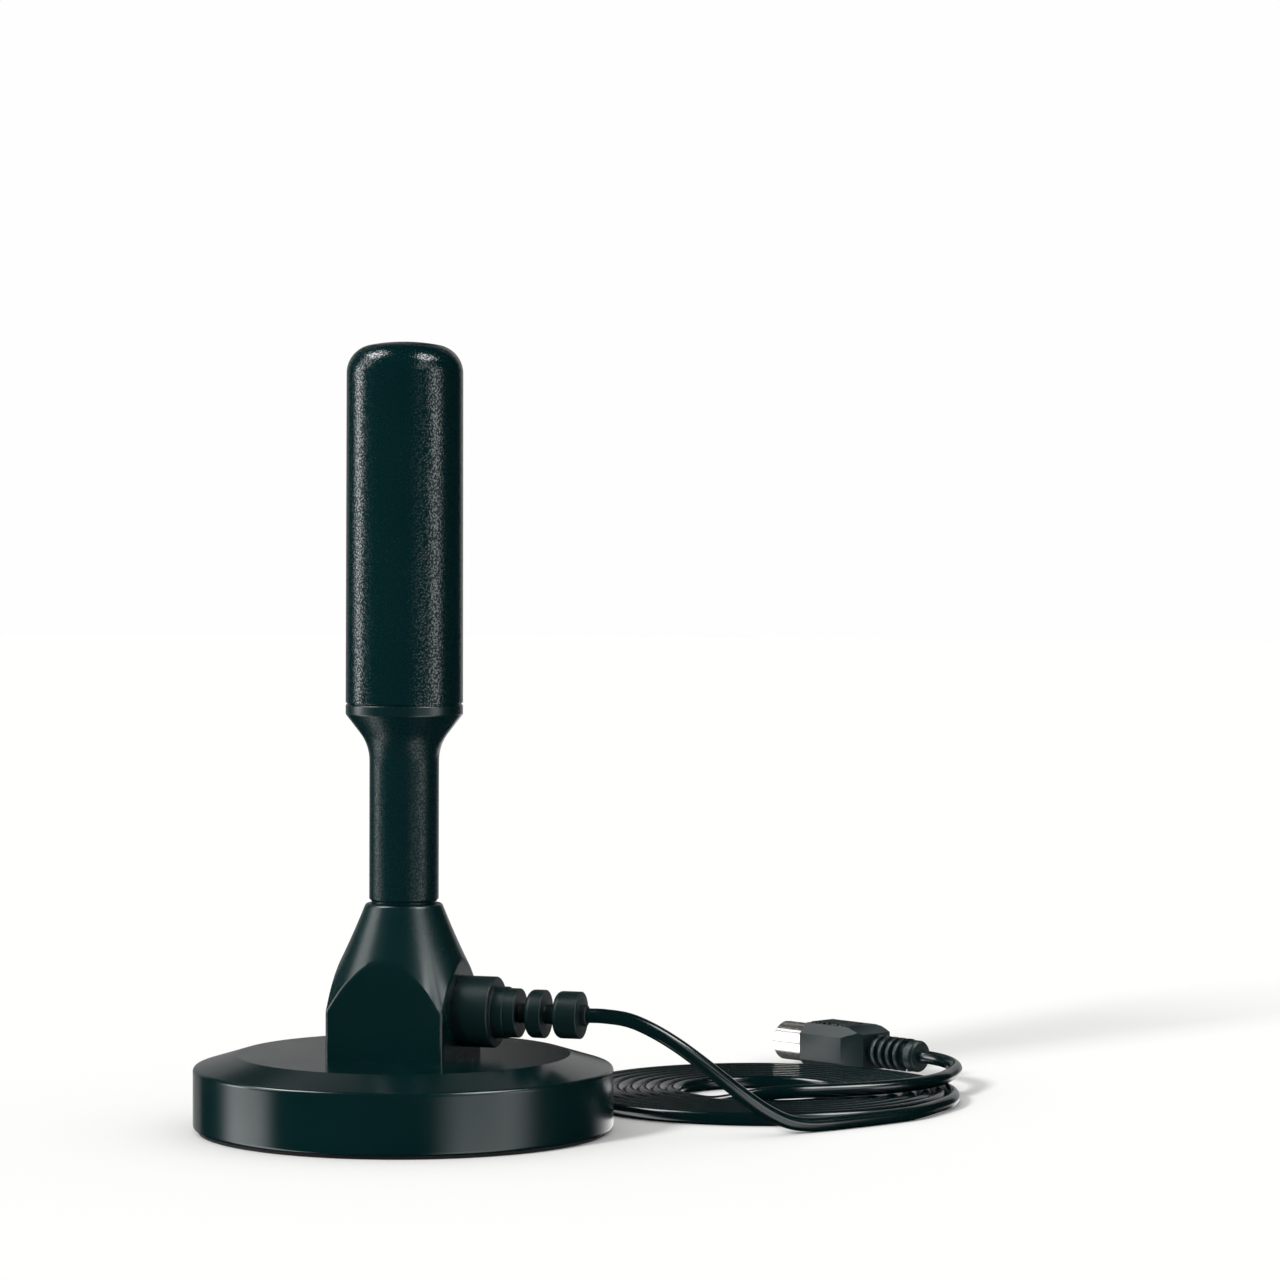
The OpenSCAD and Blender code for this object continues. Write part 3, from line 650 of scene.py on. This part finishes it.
@dataclass
class Tower:
    """The tower: a square block whose top is cut to a flared cone, which leaves an arch on each face."""

    half: float = 13.6
    edge: float = 1.1
    foot: float = 16.9
    top: float = 50.1
    cone_top: float = 8.4
    lean: float = 21.5
    flare: float = 180.0
    ease: float = 0.5
    ease_faces: int = 3
    stud: float = 4.95
    # Each arch bends down to its upright edges over its last few mm, and the cone soon loses the bend
    spring_drop: float = 0.9
    spring_run: float = 3.2
    spring_fade: int = 5
    columns: int = 40
    corner_columns: int = 8
    flat_rows: int = 8
    cone_rows: int = 24
    cap_rows: int = 2

    def plan(self) -> list[Point]:
        """Gives the block's outline seen from above, once round.

        Returns:
            Its points, in mm, without the first repeated.
        """
        inner = self.half - self.edge
        side = [(self.half, -inner + 2 * inner * i / self.columns) for i in range(self.columns)]
        side += arc((inner, inner), self.edge, 0, 90, self.corner_columns)[:-1]
        points: list[Point] = []
        for quarter in range(4):
            turn = Matrix.Rotation(math.radians(90 * quarter), 2)
            points += [tuple(turn @ Vector(p)) for p in side]
        return points

    def arch_lean(self, reach: float) -> float:
        """Gives the cone's lean where it is as wide as the block.

        Args:
            reach: distance of the block's wall from the axis.

        Returns:
            The lean from the upright, in radians.
        """
        return math.acos(math.cos(math.radians(self.lean)) - (reach - self.cone_top) / self.flare)

    def cone_at(self, lean: float) -> Point:
        """Gives the place on the cone's side where it leans so far.

        Args:
            lean: the lean from the upright, in radians.

        Returns:
            The cone's radius and height there.
        """
        start = math.radians(self.lean)
        radius = self.cone_top + self.flare * (math.cos(start) - math.cos(lean))
        return radius, self.top - self.flare * (math.sin(lean) - math.sin(start))

    def column(self, foot: Point) -> list[Vector]:
        """Gives one column of the tower's skin, from its foot to the hole for the stud.

        Args:
            foot: where the column stands, seen from above.

        Returns:
            Its points, with the arch at the row after the flat ones.
        """
        reach = math.hypot(*foot)
        along = Vector((foot[0] / reach, foot[1] / reach, 0))
        arch = self.arch_lean(reach)
        off_edge = max(0.0, self.half - self.edge - min(abs(foot[0]), abs(foot[1])))
        drop = self.spring_drop * max(0.0, 1 - off_edge / self.spring_run) ** 2
        arch_z = self.cone_at(arch)[1] - drop
        rows = []
        for i in range(self.flat_rows):
            z = self.foot + (arch_z - self.foot) * i / self.flat_rows
            rows.append(along * reach + Vector((0, 0, z)))
        for i in range(self.cone_rows + 1):
            risen = i / self.cone_rows
            radius, z = self.cone_at(arch + (math.radians(self.lean) - arch) * risen)
            rows.append(along * radius + Vector((0, 0, z - drop * (1 - risen) ** self.spring_fade)))
        for i in range(1, self.cap_rows + 1):
            radius = self.cone_top + (self.stud - self.cone_top) * i / self.cap_rows
            rows.append(along * radius + Vector((0, 0, self.top)))
        return rows

    def build(self) -> None:
        """Bends a grid to the tower's skin, closes it below, and eases its arches and top edge."""
        plan = self.plan()
        across = len(plan)
        up = self.flat_rows + self.cone_rows + self.cap_rows
        grid_half = 0.5
        mesh = bmesh.new()
        bmesh.ops.create_grid(mesh, x_segments=across, y_segments=up, size=grid_half)
        columns = [self.column(p) for p in plan]
        crease_rows = (self.flat_rows, self.flat_rows + self.cone_rows)
        crease_ends = set()
        for vert in mesh.verts:
            column = round((vert.co.x + grid_half) * across) % across
            row = round((vert.co.y + grid_half) * up)
            vert.co = columns[column][row]
            if row in crease_rows:
                crease_ends.add(tuple(vert.co))
        bmesh.ops.remove_doubles(mesh, verts=mesh.verts, dist=SAME_SPOT)
        bmesh.ops.holes_fill(mesh, edges=[e for e in mesh.edges if e.is_boundary], sides=0)
        eased = [e for e in mesh.edges if all(tuple(v.co) in crease_ends for v in e.verts)]
        bmesh.ops.bevel(mesh, geom=eased, affect="EDGES", offset=self.ease, segments=self.ease_faces,
                        profile=0.5, material=-1)
        bmesh.ops.recalc_face_normals(mesh, faces=mesh.faces)
        seated(finished(mesh, "tower_moulding", TOWER_ABS, sharp_degrees=50), "cable_housing")


@dataclass
class Stem:
    """The stem and its trumpet, with the flange that the cap sits on."""

    stud: float = 4.9
    stud_foot: float = 34.1
    stud_round: float = 0.4
    bore: float = 2.6
    foot: float = 50.1
    foot_step: float = 0.5
    radius: float = 7.65
    straight_top: float = 81.5
    curve: float = 10.0
    curve_steps: int = 8
    lean: float = 37.5
    flange_radius: float = 12.9
    flange_height: float = 2.2
    flange_under_round: float = 0.6
    flange_top_round: float = 0.42
    socket_radius: float = 11.1
    socket_height: float = 8.0
    socket_round: float = 0.3
    cup_radius: float = 9.5
    cup_depth: float = 6.0
    ledge: float = 3.0

    @property
    def trumpet_end(self) -> Point:
        """Finds where the trumpet's curve ends and its flank starts.

        Returns:
            The radius and the height there.
        """
        turn = math.radians(self.lean)
        radius = self.radius + self.curve * (1 - math.cos(turn))
        return radius, self.straight_top + self.curve * math.sin(turn)

    @property
    def flange_foot(self) -> float:
        """Height where the flank meets the flange."""
        end_r, end_z = self.trumpet_end
        return end_z + (self.flange_radius - end_r) / math.tan(math.radians(self.lean))

    @property
    def seam(self) -> float:
        """Height of the seam between the flange and the cap."""
        return self.flange_foot + self.flange_height

    def build(self) -> None:
        """Turns the stem, from its stud to the cup for the board."""
        step = self.foot_step
        socket_top = self.seam + self.socket_height
        cup_floor = socket_top - self.cup_depth
        ledge_radius = self.cup_radius - self.ledge
        curve_centre = (self.radius + self.curve, self.straight_top)
        curve = arc(curve_centre, self.curve, 180, 180 - self.lean, self.curve_steps)
        lower = filleted([
            (self.bore, self.stud_foot, 0), (self.stud, self.stud_foot, self.stud_round),
            (self.stud, self.foot, CRISP), (self.radius - step, self.foot, FINE),
            (self.radius - step, self.foot + step, CRISP), (self.radius, self.foot + 2 * step, EASED),
            curve[0] + (0,),
        ])
        upper = filleted([
            curve[-1] + (0,), (self.flange_radius, self.flange_foot, self.flange_under_round),
            (self.flange_radius, self.seam, self.flange_top_round), (self.socket_radius, self.seam, CRISP),
            (self.socket_radius, socket_top, self.socket_round), (self.cup_radius, socket_top, EASED),
            (self.cup_radius, cup_floor, EASED), (ledge_radius, cup_floor, EASED),
            (ledge_radius, cup_floor - self.ledge, EASED), (self.bore, cup_floor - self.ledge, 0),
        ])
        mesh = turned(lower[:-1] + curve + upper[1:], steps=160, loop=True)
        stem = finished(mesh, "stem_moulding", STEM_ABS)
        # The flange is left smooth where the mould halves meet
        stem.data.materials.append(TOWER_ABS.material())
        for face in stem.data.polygons:
            face.material_index = int(face.center.z > self.flange_foot * MM)
        seated(stem, "neck")


@dataclass
class Cap:
    """The cap over the element: a tube with a shallow dome and a rounded shoulder."""

    seam: float
    radius: float = 12.9
    draft: float = 0.1
    height: float = 79.6
    shoulder: float = 6.3
    shoulder_steps: int = 14
    dome: float = 40.0
    dome_steps: int = 12
    wall: float = 1.6
    groove_depth: float = 0.3
    groove_height: float = 0.32
    lip: float = 0.12
    lip_steps: int = 4

    def cap_side(self, inset: float) -> list[Point]:
        """Gives the shoulder and the dome, from the wall's top to the axis.

        Args:
            inset: how far inside the outer skin the line runs.

        Returns:
            Its points.
        """
        shoulder, dome = self.shoulder - inset, self.dome - inset
        run = self.radius - self.draft - inset - shoulder
        reach = dome - shoulder
        lift = math.sqrt(reach ** 2 - run ** 2)
        middle = self.seam + self.height - self.dome
        lean = math.degrees(math.acos(run / reach))
        rounded = arc((run, middle + lift), shoulder, 0, lean, self.shoulder_steps)
        return rounded + arc((0, middle), dome, lean, 90, self.dome_steps)[1:]

    def build(self) -> None:
        """Turns the cap's shell, with a fine groove above the seam that reads as a dark line."""
        inner = self.radius - self.draft - self.wall
        waist = self.radius - self.groove_depth
        groove_top = self.seam + self.groove_height
        lip_centre = (self.radius - self.lip, groove_top + self.lip)
        foot = [(inner, self.seam), (waist, self.seam), (waist, groove_top)]
        foot += arc(lip_centre, self.lip, -90, 0, self.lip_steps)
        outline = list(reversed(self.cap_side(self.wall))) + foot + self.cap_side(0)
        seated(finished(turned(outline), "cap_moulding", CAP_ABS), "radome")


@dataclass
class Gland:
    """The cord gland: a collar on the tower, a step, and rings cut through to a thin core."""

    axis_z: float = 26.7
    bore: float = 1.65
    spigot: float = 4.9
    spigot_end: float = 8.5
    groove: float = 4.1
    groove_from: float = 9.75
    groove_to: float = 10.65
    wall: float = 13.6
    collar: float = 7.8
    collar_end: float = 21.7
    collar_round: float = 0.45
    step: float = 5.7
    ring: float = 5.4
    ring_taper: float = 0.12
    rings: tuple[Point, ...] = ((24.4, 27.1), (29.2, 33.0), (35.5, 41.1))
    ring_round: float = 1.3
    core: float = 2.15
    nub: float = 2.3
    end: float = 42.4

    def build(self) -> None:
        """Turns the gland about the cord, its edges eased as a soft moulding's are."""
        corners = [
            (self.bore, self.spigot_end, 0), (self.spigot, self.spigot_end, EASED),
            (self.spigot, self.groove_from, 0), (self.groove, self.groove_from, 0),
            (self.groove, self.groove_to, 0), (self.spigot, self.groove_to, 0),
            (self.spigot, self.wall, 0), (self.collar, self.wall, FINE),
            (self.collar, self.collar_end, self.collar_round), (self.step, self.collar_end, FINE),
            (self.step, self.rings[0][0], FINE),
        ]
        for i, (start, stop) in enumerate(self.rings):
            outer = self.ring - i * self.ring_taper
            # The first ring rises straight from the step; the others stand on the core
            if i:
                corners += [(self.core, start, CRISP), (outer, start, self.ring_round)]
            else:
                corners.append((outer, start, CRISP))
            corners += [(outer, stop, SOFT), (self.core, stop, EASED)]
        corners[-1] = (self.nub, self.rings[-1][1], 0)
        corners += [(self.nub, self.end, SOFT), (self.bore, self.end, 0)]
        place = Matrix.Translation((0, 0, self.axis_z)) @ Matrix.Rotation(math.radians(90), 4, "Y")
        mesh = turned(filleted(corners, step=15), steps=128, loop=True, place=place)
        seated(finished(mesh, "gland_moulding", SOFT_PVC), "cord_gland")


@dataclass
class Plug:
    """The plug: ribbed relief, moulded body with grip panels, and the coaxial contacts."""

    place_mm: Spot
    yaw: float
    relief_length: float = 14.6
    relief_ease: float = 0.12
    body_length: float = 19.6
    body_ease: float = 0.15
    shell: float = 4.75
    shell_length: float = 11.0
    shell_wall: float = 0.5
    shell_root: float = 4.0
    mouth_outside_round: float = 0.22
    mouth_inside_round: float = 0.18
    slit: float = 0.6
    insulator_length: float = 3.0
    pin: float = 1.2
    pin_length: float = 10.0
    pin_round: float = 0.7
    seat: float = 0.02

    def along(self) -> Matrix:
        """Lays a shape turned about Z along the plug, from the body's front.

        Returns:
            The transform.
        """
        front = self.relief_length + self.body_length
        lay = Matrix.Translation(self.place_mm) @ Matrix.Rotation(math.radians(self.yaw), 4, "Z")
        return lay @ Matrix.Translation((front, 0, 0)) @ Matrix.Rotation(math.radians(90), 4, "Y")

    def soft_part(self, frame: dict[str, Any], node: str, name: str, bevel_mm: float) -> Piece:
        """Copies one of the plug's mouldings with its edges eased.

        Args:
            frame: the loaded frame.
            node: the CAD node.
            name: the new piece's name.
            bevel_mm: width of the eased edges.

        Returns:
            The piece.
        """
        mesh = softened_copy(frame["nodes"][node], bevel_mm)
        return seated(finished(mesh, name, SOFT_PVC, sharp_degrees=35), node)

    def sleeve(self) -> Piece:
        """Turns the sleeve round to its slit, with a rolled mouth.

        Returns:
            The piece.
        """
        bore = self.shell - self.shell_wall
        outline = filleted([
            (bore, -self.shell_root, 0), (self.shell, -self.shell_root, 0),
            (self.shell, self.shell_length, self.mouth_outside_round),
            (bore, self.shell_length, self.mouth_inside_round), (bore, -self.shell_root, 0),
        ], step=20)[:-1]
        gap = 2 * math.degrees(math.asin(self.slit / 2 / self.shell))
        # The turned shape starts at the slit's edge; after it is laid down, the slit faces up
        start = Matrix.Rotation(math.radians(180 + gap / 2), 4, "Z")
        mesh = turned(outline, steps=120, place=self.along() @ start, sweep=360 - gap)
        return seated(finished(mesh, "plug_sleeve", NICKEL), "plug_shell")

    def insulator(self) -> Piece:
        """Turns the insulator between the sleeve and the pin.

        Returns:
            The piece.
        """
        rim = self.shell - self.shell_wall - self.seat
        hole = self.pin + self.seat
        outline = filleted([
            (hole, -self.shell_root, 0), (rim, -self.shell_root, 0), (rim, self.insulator_length, SOFT),
            (hole, self.insulator_length, FINE), (hole, -self.shell_root, 0),
        ], step=20)[:-1]
        mesh = turned(outline, steps=72, loop=True, place=self.along())
        return seated(finished(mesh, "plug_insulating_ring", WHITE_PE), "plug_insulator")

    def centre_pin(self) -> Piece:
        """Turns the pin with its rounded tip.

        Returns:
            The piece.
        """
        outline = filleted([
            (0, -self.shell_root, 0), (self.pin, -self.shell_root, CRISP),
            (self.pin, self.pin_length, self.pin_round), (0, self.pin_length, 0),
        ])
        mesh = turned(outline, steps=48, place=self.along())
        return seated(finished(mesh, "plug_centre_pin", NICKEL), "plug_pin")

    def build(self, frame: dict[str, Any]) -> list[Piece]:
        """Builds every piece of the plug.

        Args:
            frame: the loaded frame.

        Returns:
            The pieces that go with the cord.
        """
        relief = self.soft_part(frame, "plug_relief", "relief_moulding", self.relief_ease)
        body = self.soft_part(frame, "plug_body", "plug_moulding", self.body_ease)
        return [relief, body, self.sleeve(), self.insulator(), self.centre_pin()]


@dataclass(frozen=True)
class Panel:
    """A light panel that shows in the gloss: where it stands round the object, and how bright it is.

    Angles are in degrees. An azimuth of 0 is towards the camera, and 90 is to its right.
    """

    azimuth: float
    half_width: float
    blur: float
    low: float
    high: float
    level: float


@dataclass
class Studio:
    """A white room: pale floor, soft daylight all round, a soft key light and panels for the gloss."""

    floor_radius: float = 4.0
    floor_sides: int = 96
    floor_colour: str = "#fbfbf9"
    room_level: float = 0.7
    backdrop_level: float = 0.99
    gloss_floor: float = 0.004
    end_blur: float = 1.3
    key_strength: float = 2.4
    # In front and to the left, measured as a panel's is
    key_azimuth: float = -40.5
    key_elevation: float = 27.0
    key_spread: float = 11.0
    panels: tuple[Panel, ...] = (
        # Left bank, from the floor to the ceiling
        Panel(-92, 16, 8, -60, -6.5, 3.4),
        Panel(-100, 8, 4, -2, 14, 8.5),
        Panel(-91, 14, 8, 14, 38, 3.2),
        Panel(-97, 18, 7, 42, 66, 13.0),
        # Right bank, turned towards the camera and weaker, apart from its ceiling panel
        Panel(49, 22, 11, -60, -6, 2.2),
        Panel(67, 10, 5, -3.5, 14, 3.8),
        Panel(48, 16, 9, 14, 38, 2.0),
        Panel(68, 19, 7, 43, 66, 13.0),
        # Behind: a dim backdrop to the left, a dim strip above, and to the right a bright strip low down
        # with a dim panel over it
        Panel(-160, 17.5, 3, -14, 21, 0.3),
        Panel(180, 36, 8, 31, 40, 0.22),
        Panel(165, 24, 14, -16, -7, 1.7),
        Panel(163, 14, 2, -7, 26, 0.5),
    )

    def panel_light(self, tree: Tree, azimuth: Socket, elevation: Socket, panel: Panel) -> Socket:
        """Gives the brightness of one panel in each direction.

        Args:
            tree: the world's node tree.
            azimuth: azimuth of the direction, in degrees.
            elevation: its elevation, in degrees.
            panel: the panel.

        Returns:
            The brightness socket.
        """
        middle, half_height = (panel.low + panel.high) / 2, (panel.high - panel.low) / 2
        turned_off = add_node(tree, "ShaderNodeMath", {0: azimuth, 1: panel.azimuth}, operation="SUBTRACT")
        from_centre = add_node(tree, "ShaderNodeMath", {0: turned_off.outputs[0], 1: 180.0},
                               operation="PINGPONG")
        raised = add_node(tree, "ShaderNodeMath", {0: elevation, 1: middle}, operation="SUBTRACT")
        from_middle = add_node(tree, "ShaderNodeMath", {0: raised.outputs[0]}, operation="ABSOLUTE")
        light: Any = panel.level
        for distance, half, blur in ((from_centre, panel.half_width, panel.blur),
                                     (from_middle, half_height, self.end_blur)):
            within = add_node(tree, "ShaderNodeMapRange", {
                "Value": distance.outputs[0], "From Min": half - blur, "From Max": half + blur,
                "To Min": 1.0, "To Max": 0.0,
            }, interpolation_type="SMOOTHSTEP")
            light = add_node(tree, "ShaderNodeMath", {0: within.outputs["Result"], 1: light},
                             operation="MULTIPLY").outputs[0]
        return light

    def build_room(self) -> None:
        """Sets the room's light: white to the eye, even to the floor, and panels to the gloss."""
        world = bpy.data.worlds.new("Studio room")
        bpy.context.scene.world = world
        # The room differs by the kind of ray, which only holds where each ray finds it by itself
        world.cycles.sampling_method = "NONE"
        world.use_nodes = True
        tree = world.node_tree
        tree.nodes.clear()
        way = add_node(tree, "ShaderNodeTexCoord").outputs["Generated"]
        seen = add_node(tree, "ShaderNodeVectorRotate", {"Vector": way, "Angle": -VIEW_TURN},
                        rotation_type="Z_AXIS")
        parts = add_node(tree, "ShaderNodeSeparateXYZ", {0: seen.outputs[0]})
        nearness = add_node(tree, "ShaderNodeMath", {0: parts.outputs["Y"], 1: -1.0}, operation="MULTIPLY")
        round_it = add_node(tree, "ShaderNodeMath", {0: parts.outputs["X"], 1: nearness.outputs[0]},
                            operation="ARCTAN2")
        above_it = add_node(tree, "ShaderNodeMath", {0: parts.outputs["Z"]}, operation="ARCSINE")
        azimuth = add_node(tree, "ShaderNodeMath", {0: round_it.outputs[0]}, operation="DEGREES")
        elevation = add_node(tree, "ShaderNodeMath", {0: above_it.outputs[0]}, operation="DEGREES")
        total: Any = self.gloss_floor
        for panel in self.panels:
            light = self.panel_light(tree, azimuth.outputs[0], elevation.outputs[0], panel)
            total = add_node(tree, "ShaderNodeMath", {0: total, 1: light}, operation="ADD").outputs[0]
        ray = add_node(tree, "ShaderNodeLightPath")
        even = add_node(tree, "ShaderNodeMix", {
            0: ray.outputs["Is Glossy Ray"], 2: self.room_level, 3: total,
        }, data_type="FLOAT")
        level = add_node(tree, "ShaderNodeMix", {
            0: ray.outputs["Is Camera Ray"], 2: even.outputs[0], 3: self.backdrop_level,
        }, data_type="FLOAT")
        shine = add_node(tree, "ShaderNodeBackground", {
            "Color": (1, 1, 1, 1), "Strength": level.outputs[0],
        })
        add_node(tree, "ShaderNodeOutputWorld", {"Surface": shine.outputs[0]})

    def build_floor(self) -> None:
        """Lays the pale floor, which the gloss of the object leaves out."""
        mesh = bmesh.new()
        bmesh.ops.create_circle(mesh, cap_ends=True, segments=self.floor_sides, radius=self.floor_radius)
        data = bpy.data.meshes.new("floor")
        mesh.to_mesh(data)
        mesh.free()
        paint = bpy.data.materials.new("Pale matt floor")
        paint.use_nodes = True
        tree = paint.node_tree
        tree.nodes.clear()
        matt = add_node(tree, "ShaderNodeBsdfDiffuse", {
            "Color": linear(self.floor_colour), "Roughness": 0.0,
        })
        add_node(tree, "ShaderNodeOutputMaterial", {"Surface": matt.outputs[0]})
        data.materials.append(paint)
        floor = bpy.data.objects.new("floor", data)
        bpy.context.collection.objects.link(floor)
        floor.visible_glossy = False

    def build_key(self) -> None:
        """Hangs the key light, front left and low enough for the long soft shadow."""
        sun = bpy.data.lights.new("key", "SUN")
        sun.energy = self.key_strength
        sun.angle = math.radians(self.key_spread)
        lamp = bpy.data.objects.new("key", sun)
        azimuth, elevation = math.radians(self.key_azimuth), math.radians(self.key_elevation)
        across, away = math.sin(azimuth), -math.cos(azimuth)
        toward = Vector((across * math.cos(elevation), away * math.cos(elevation), math.sin(elevation)))
        toward = Matrix.Rotation(VIEW_TURN, 3, "Z") @ toward
        lamp.rotation_euler = toward.to_track_quat("Z", "Y").to_euler()
        bpy.context.collection.objects.link(lamp)
        lamp.visible_glossy = False

    def build(self) -> None:
        """Builds the room, the floor and the key light, with plain colour management."""
        view = bpy.context.scene.view_settings
        view.view_transform = "Standard"
        view.look = "None"
        view.exposure = 0.0
        view.gamma = 1.0
        self.build_room()
        self.build_floor()
        self.build_key()
        log.info("studio")


@dataclass
class PhotoCamera:
    """The photograph's camera, fitted to the base's ellipses and the mast's edges.

    Positions are in mm: x to the picture's right, y away from it, z up, from the base's middle.
    """

    frame_px: float = 1280.0
    focal_px: float = 4275.0
    sensor_mm: float = 36.0
    position: Spot = (51.8, -940.0, 134.3)
    pitch: float = 1.59
    roll: float = 0.2
    nearest_m: float = 0.01
    farthest_m: float = 20.0

    def build(self) -> None:
        """Sets the camera up in the object's own frame."""
        data = bpy.data.cameras.new("photo_camera")
        data.sensor_width = self.sensor_mm
        data.lens = self.focal_px / self.frame_px * self.sensor_mm
        data.clip_start = self.nearest_m
        data.clip_end = self.farthest_m
        camera = bpy.data.objects.new("photo_camera", data)
        bpy.context.collection.objects.link(camera)
        turn = Matrix.Rotation(VIEW_TURN, 4, "Z")
        tilt = Matrix.Rotation(math.radians(90 - self.pitch), 4, "X")
        aim = tilt @ Matrix.Rotation(math.radians(self.roll), 4, "Z")
        camera.matrix_world = turn @ Matrix.Translation(Vector(self.position) * MM) @ aim
        bpy.context.scene.camera = camera
        log.info("photo_camera")


def dress_inner(frame: dict[str, Any]) -> None:
    """Gives the CAD pieces that stay their finishes.

    Args:
        frame: the loaded frame.
    """
    for node, finish in INNER_FINISHES.items():
        piece = frame["nodes"][node]
        for holder in piece.material_slots:
            holder.material = finish.material()
        log.info("%s: %s", node, finish.name)


def main() -> None:
    """Builds the camera, the cord, the mouldings and the studio in order."""
    logging.basicConfig(level=logging.INFO, format="%(name)s: %(message)s")
    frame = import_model()
    PhotoCamera().build()
    cord = FreeCord()
    cord_piece = cord.build()
    plug = Plug(cord.tail_mm[-1], cord.plug_yaw)
    plug.build(frame)
    Base().build()
    Tower().build()
    stem = Stem()
    stem.build()
    Cap(stem.seam).build()
    Gland().build()
    dress_inner(frame)
    Studio().build()


if __name__ == "__main__":
    main()
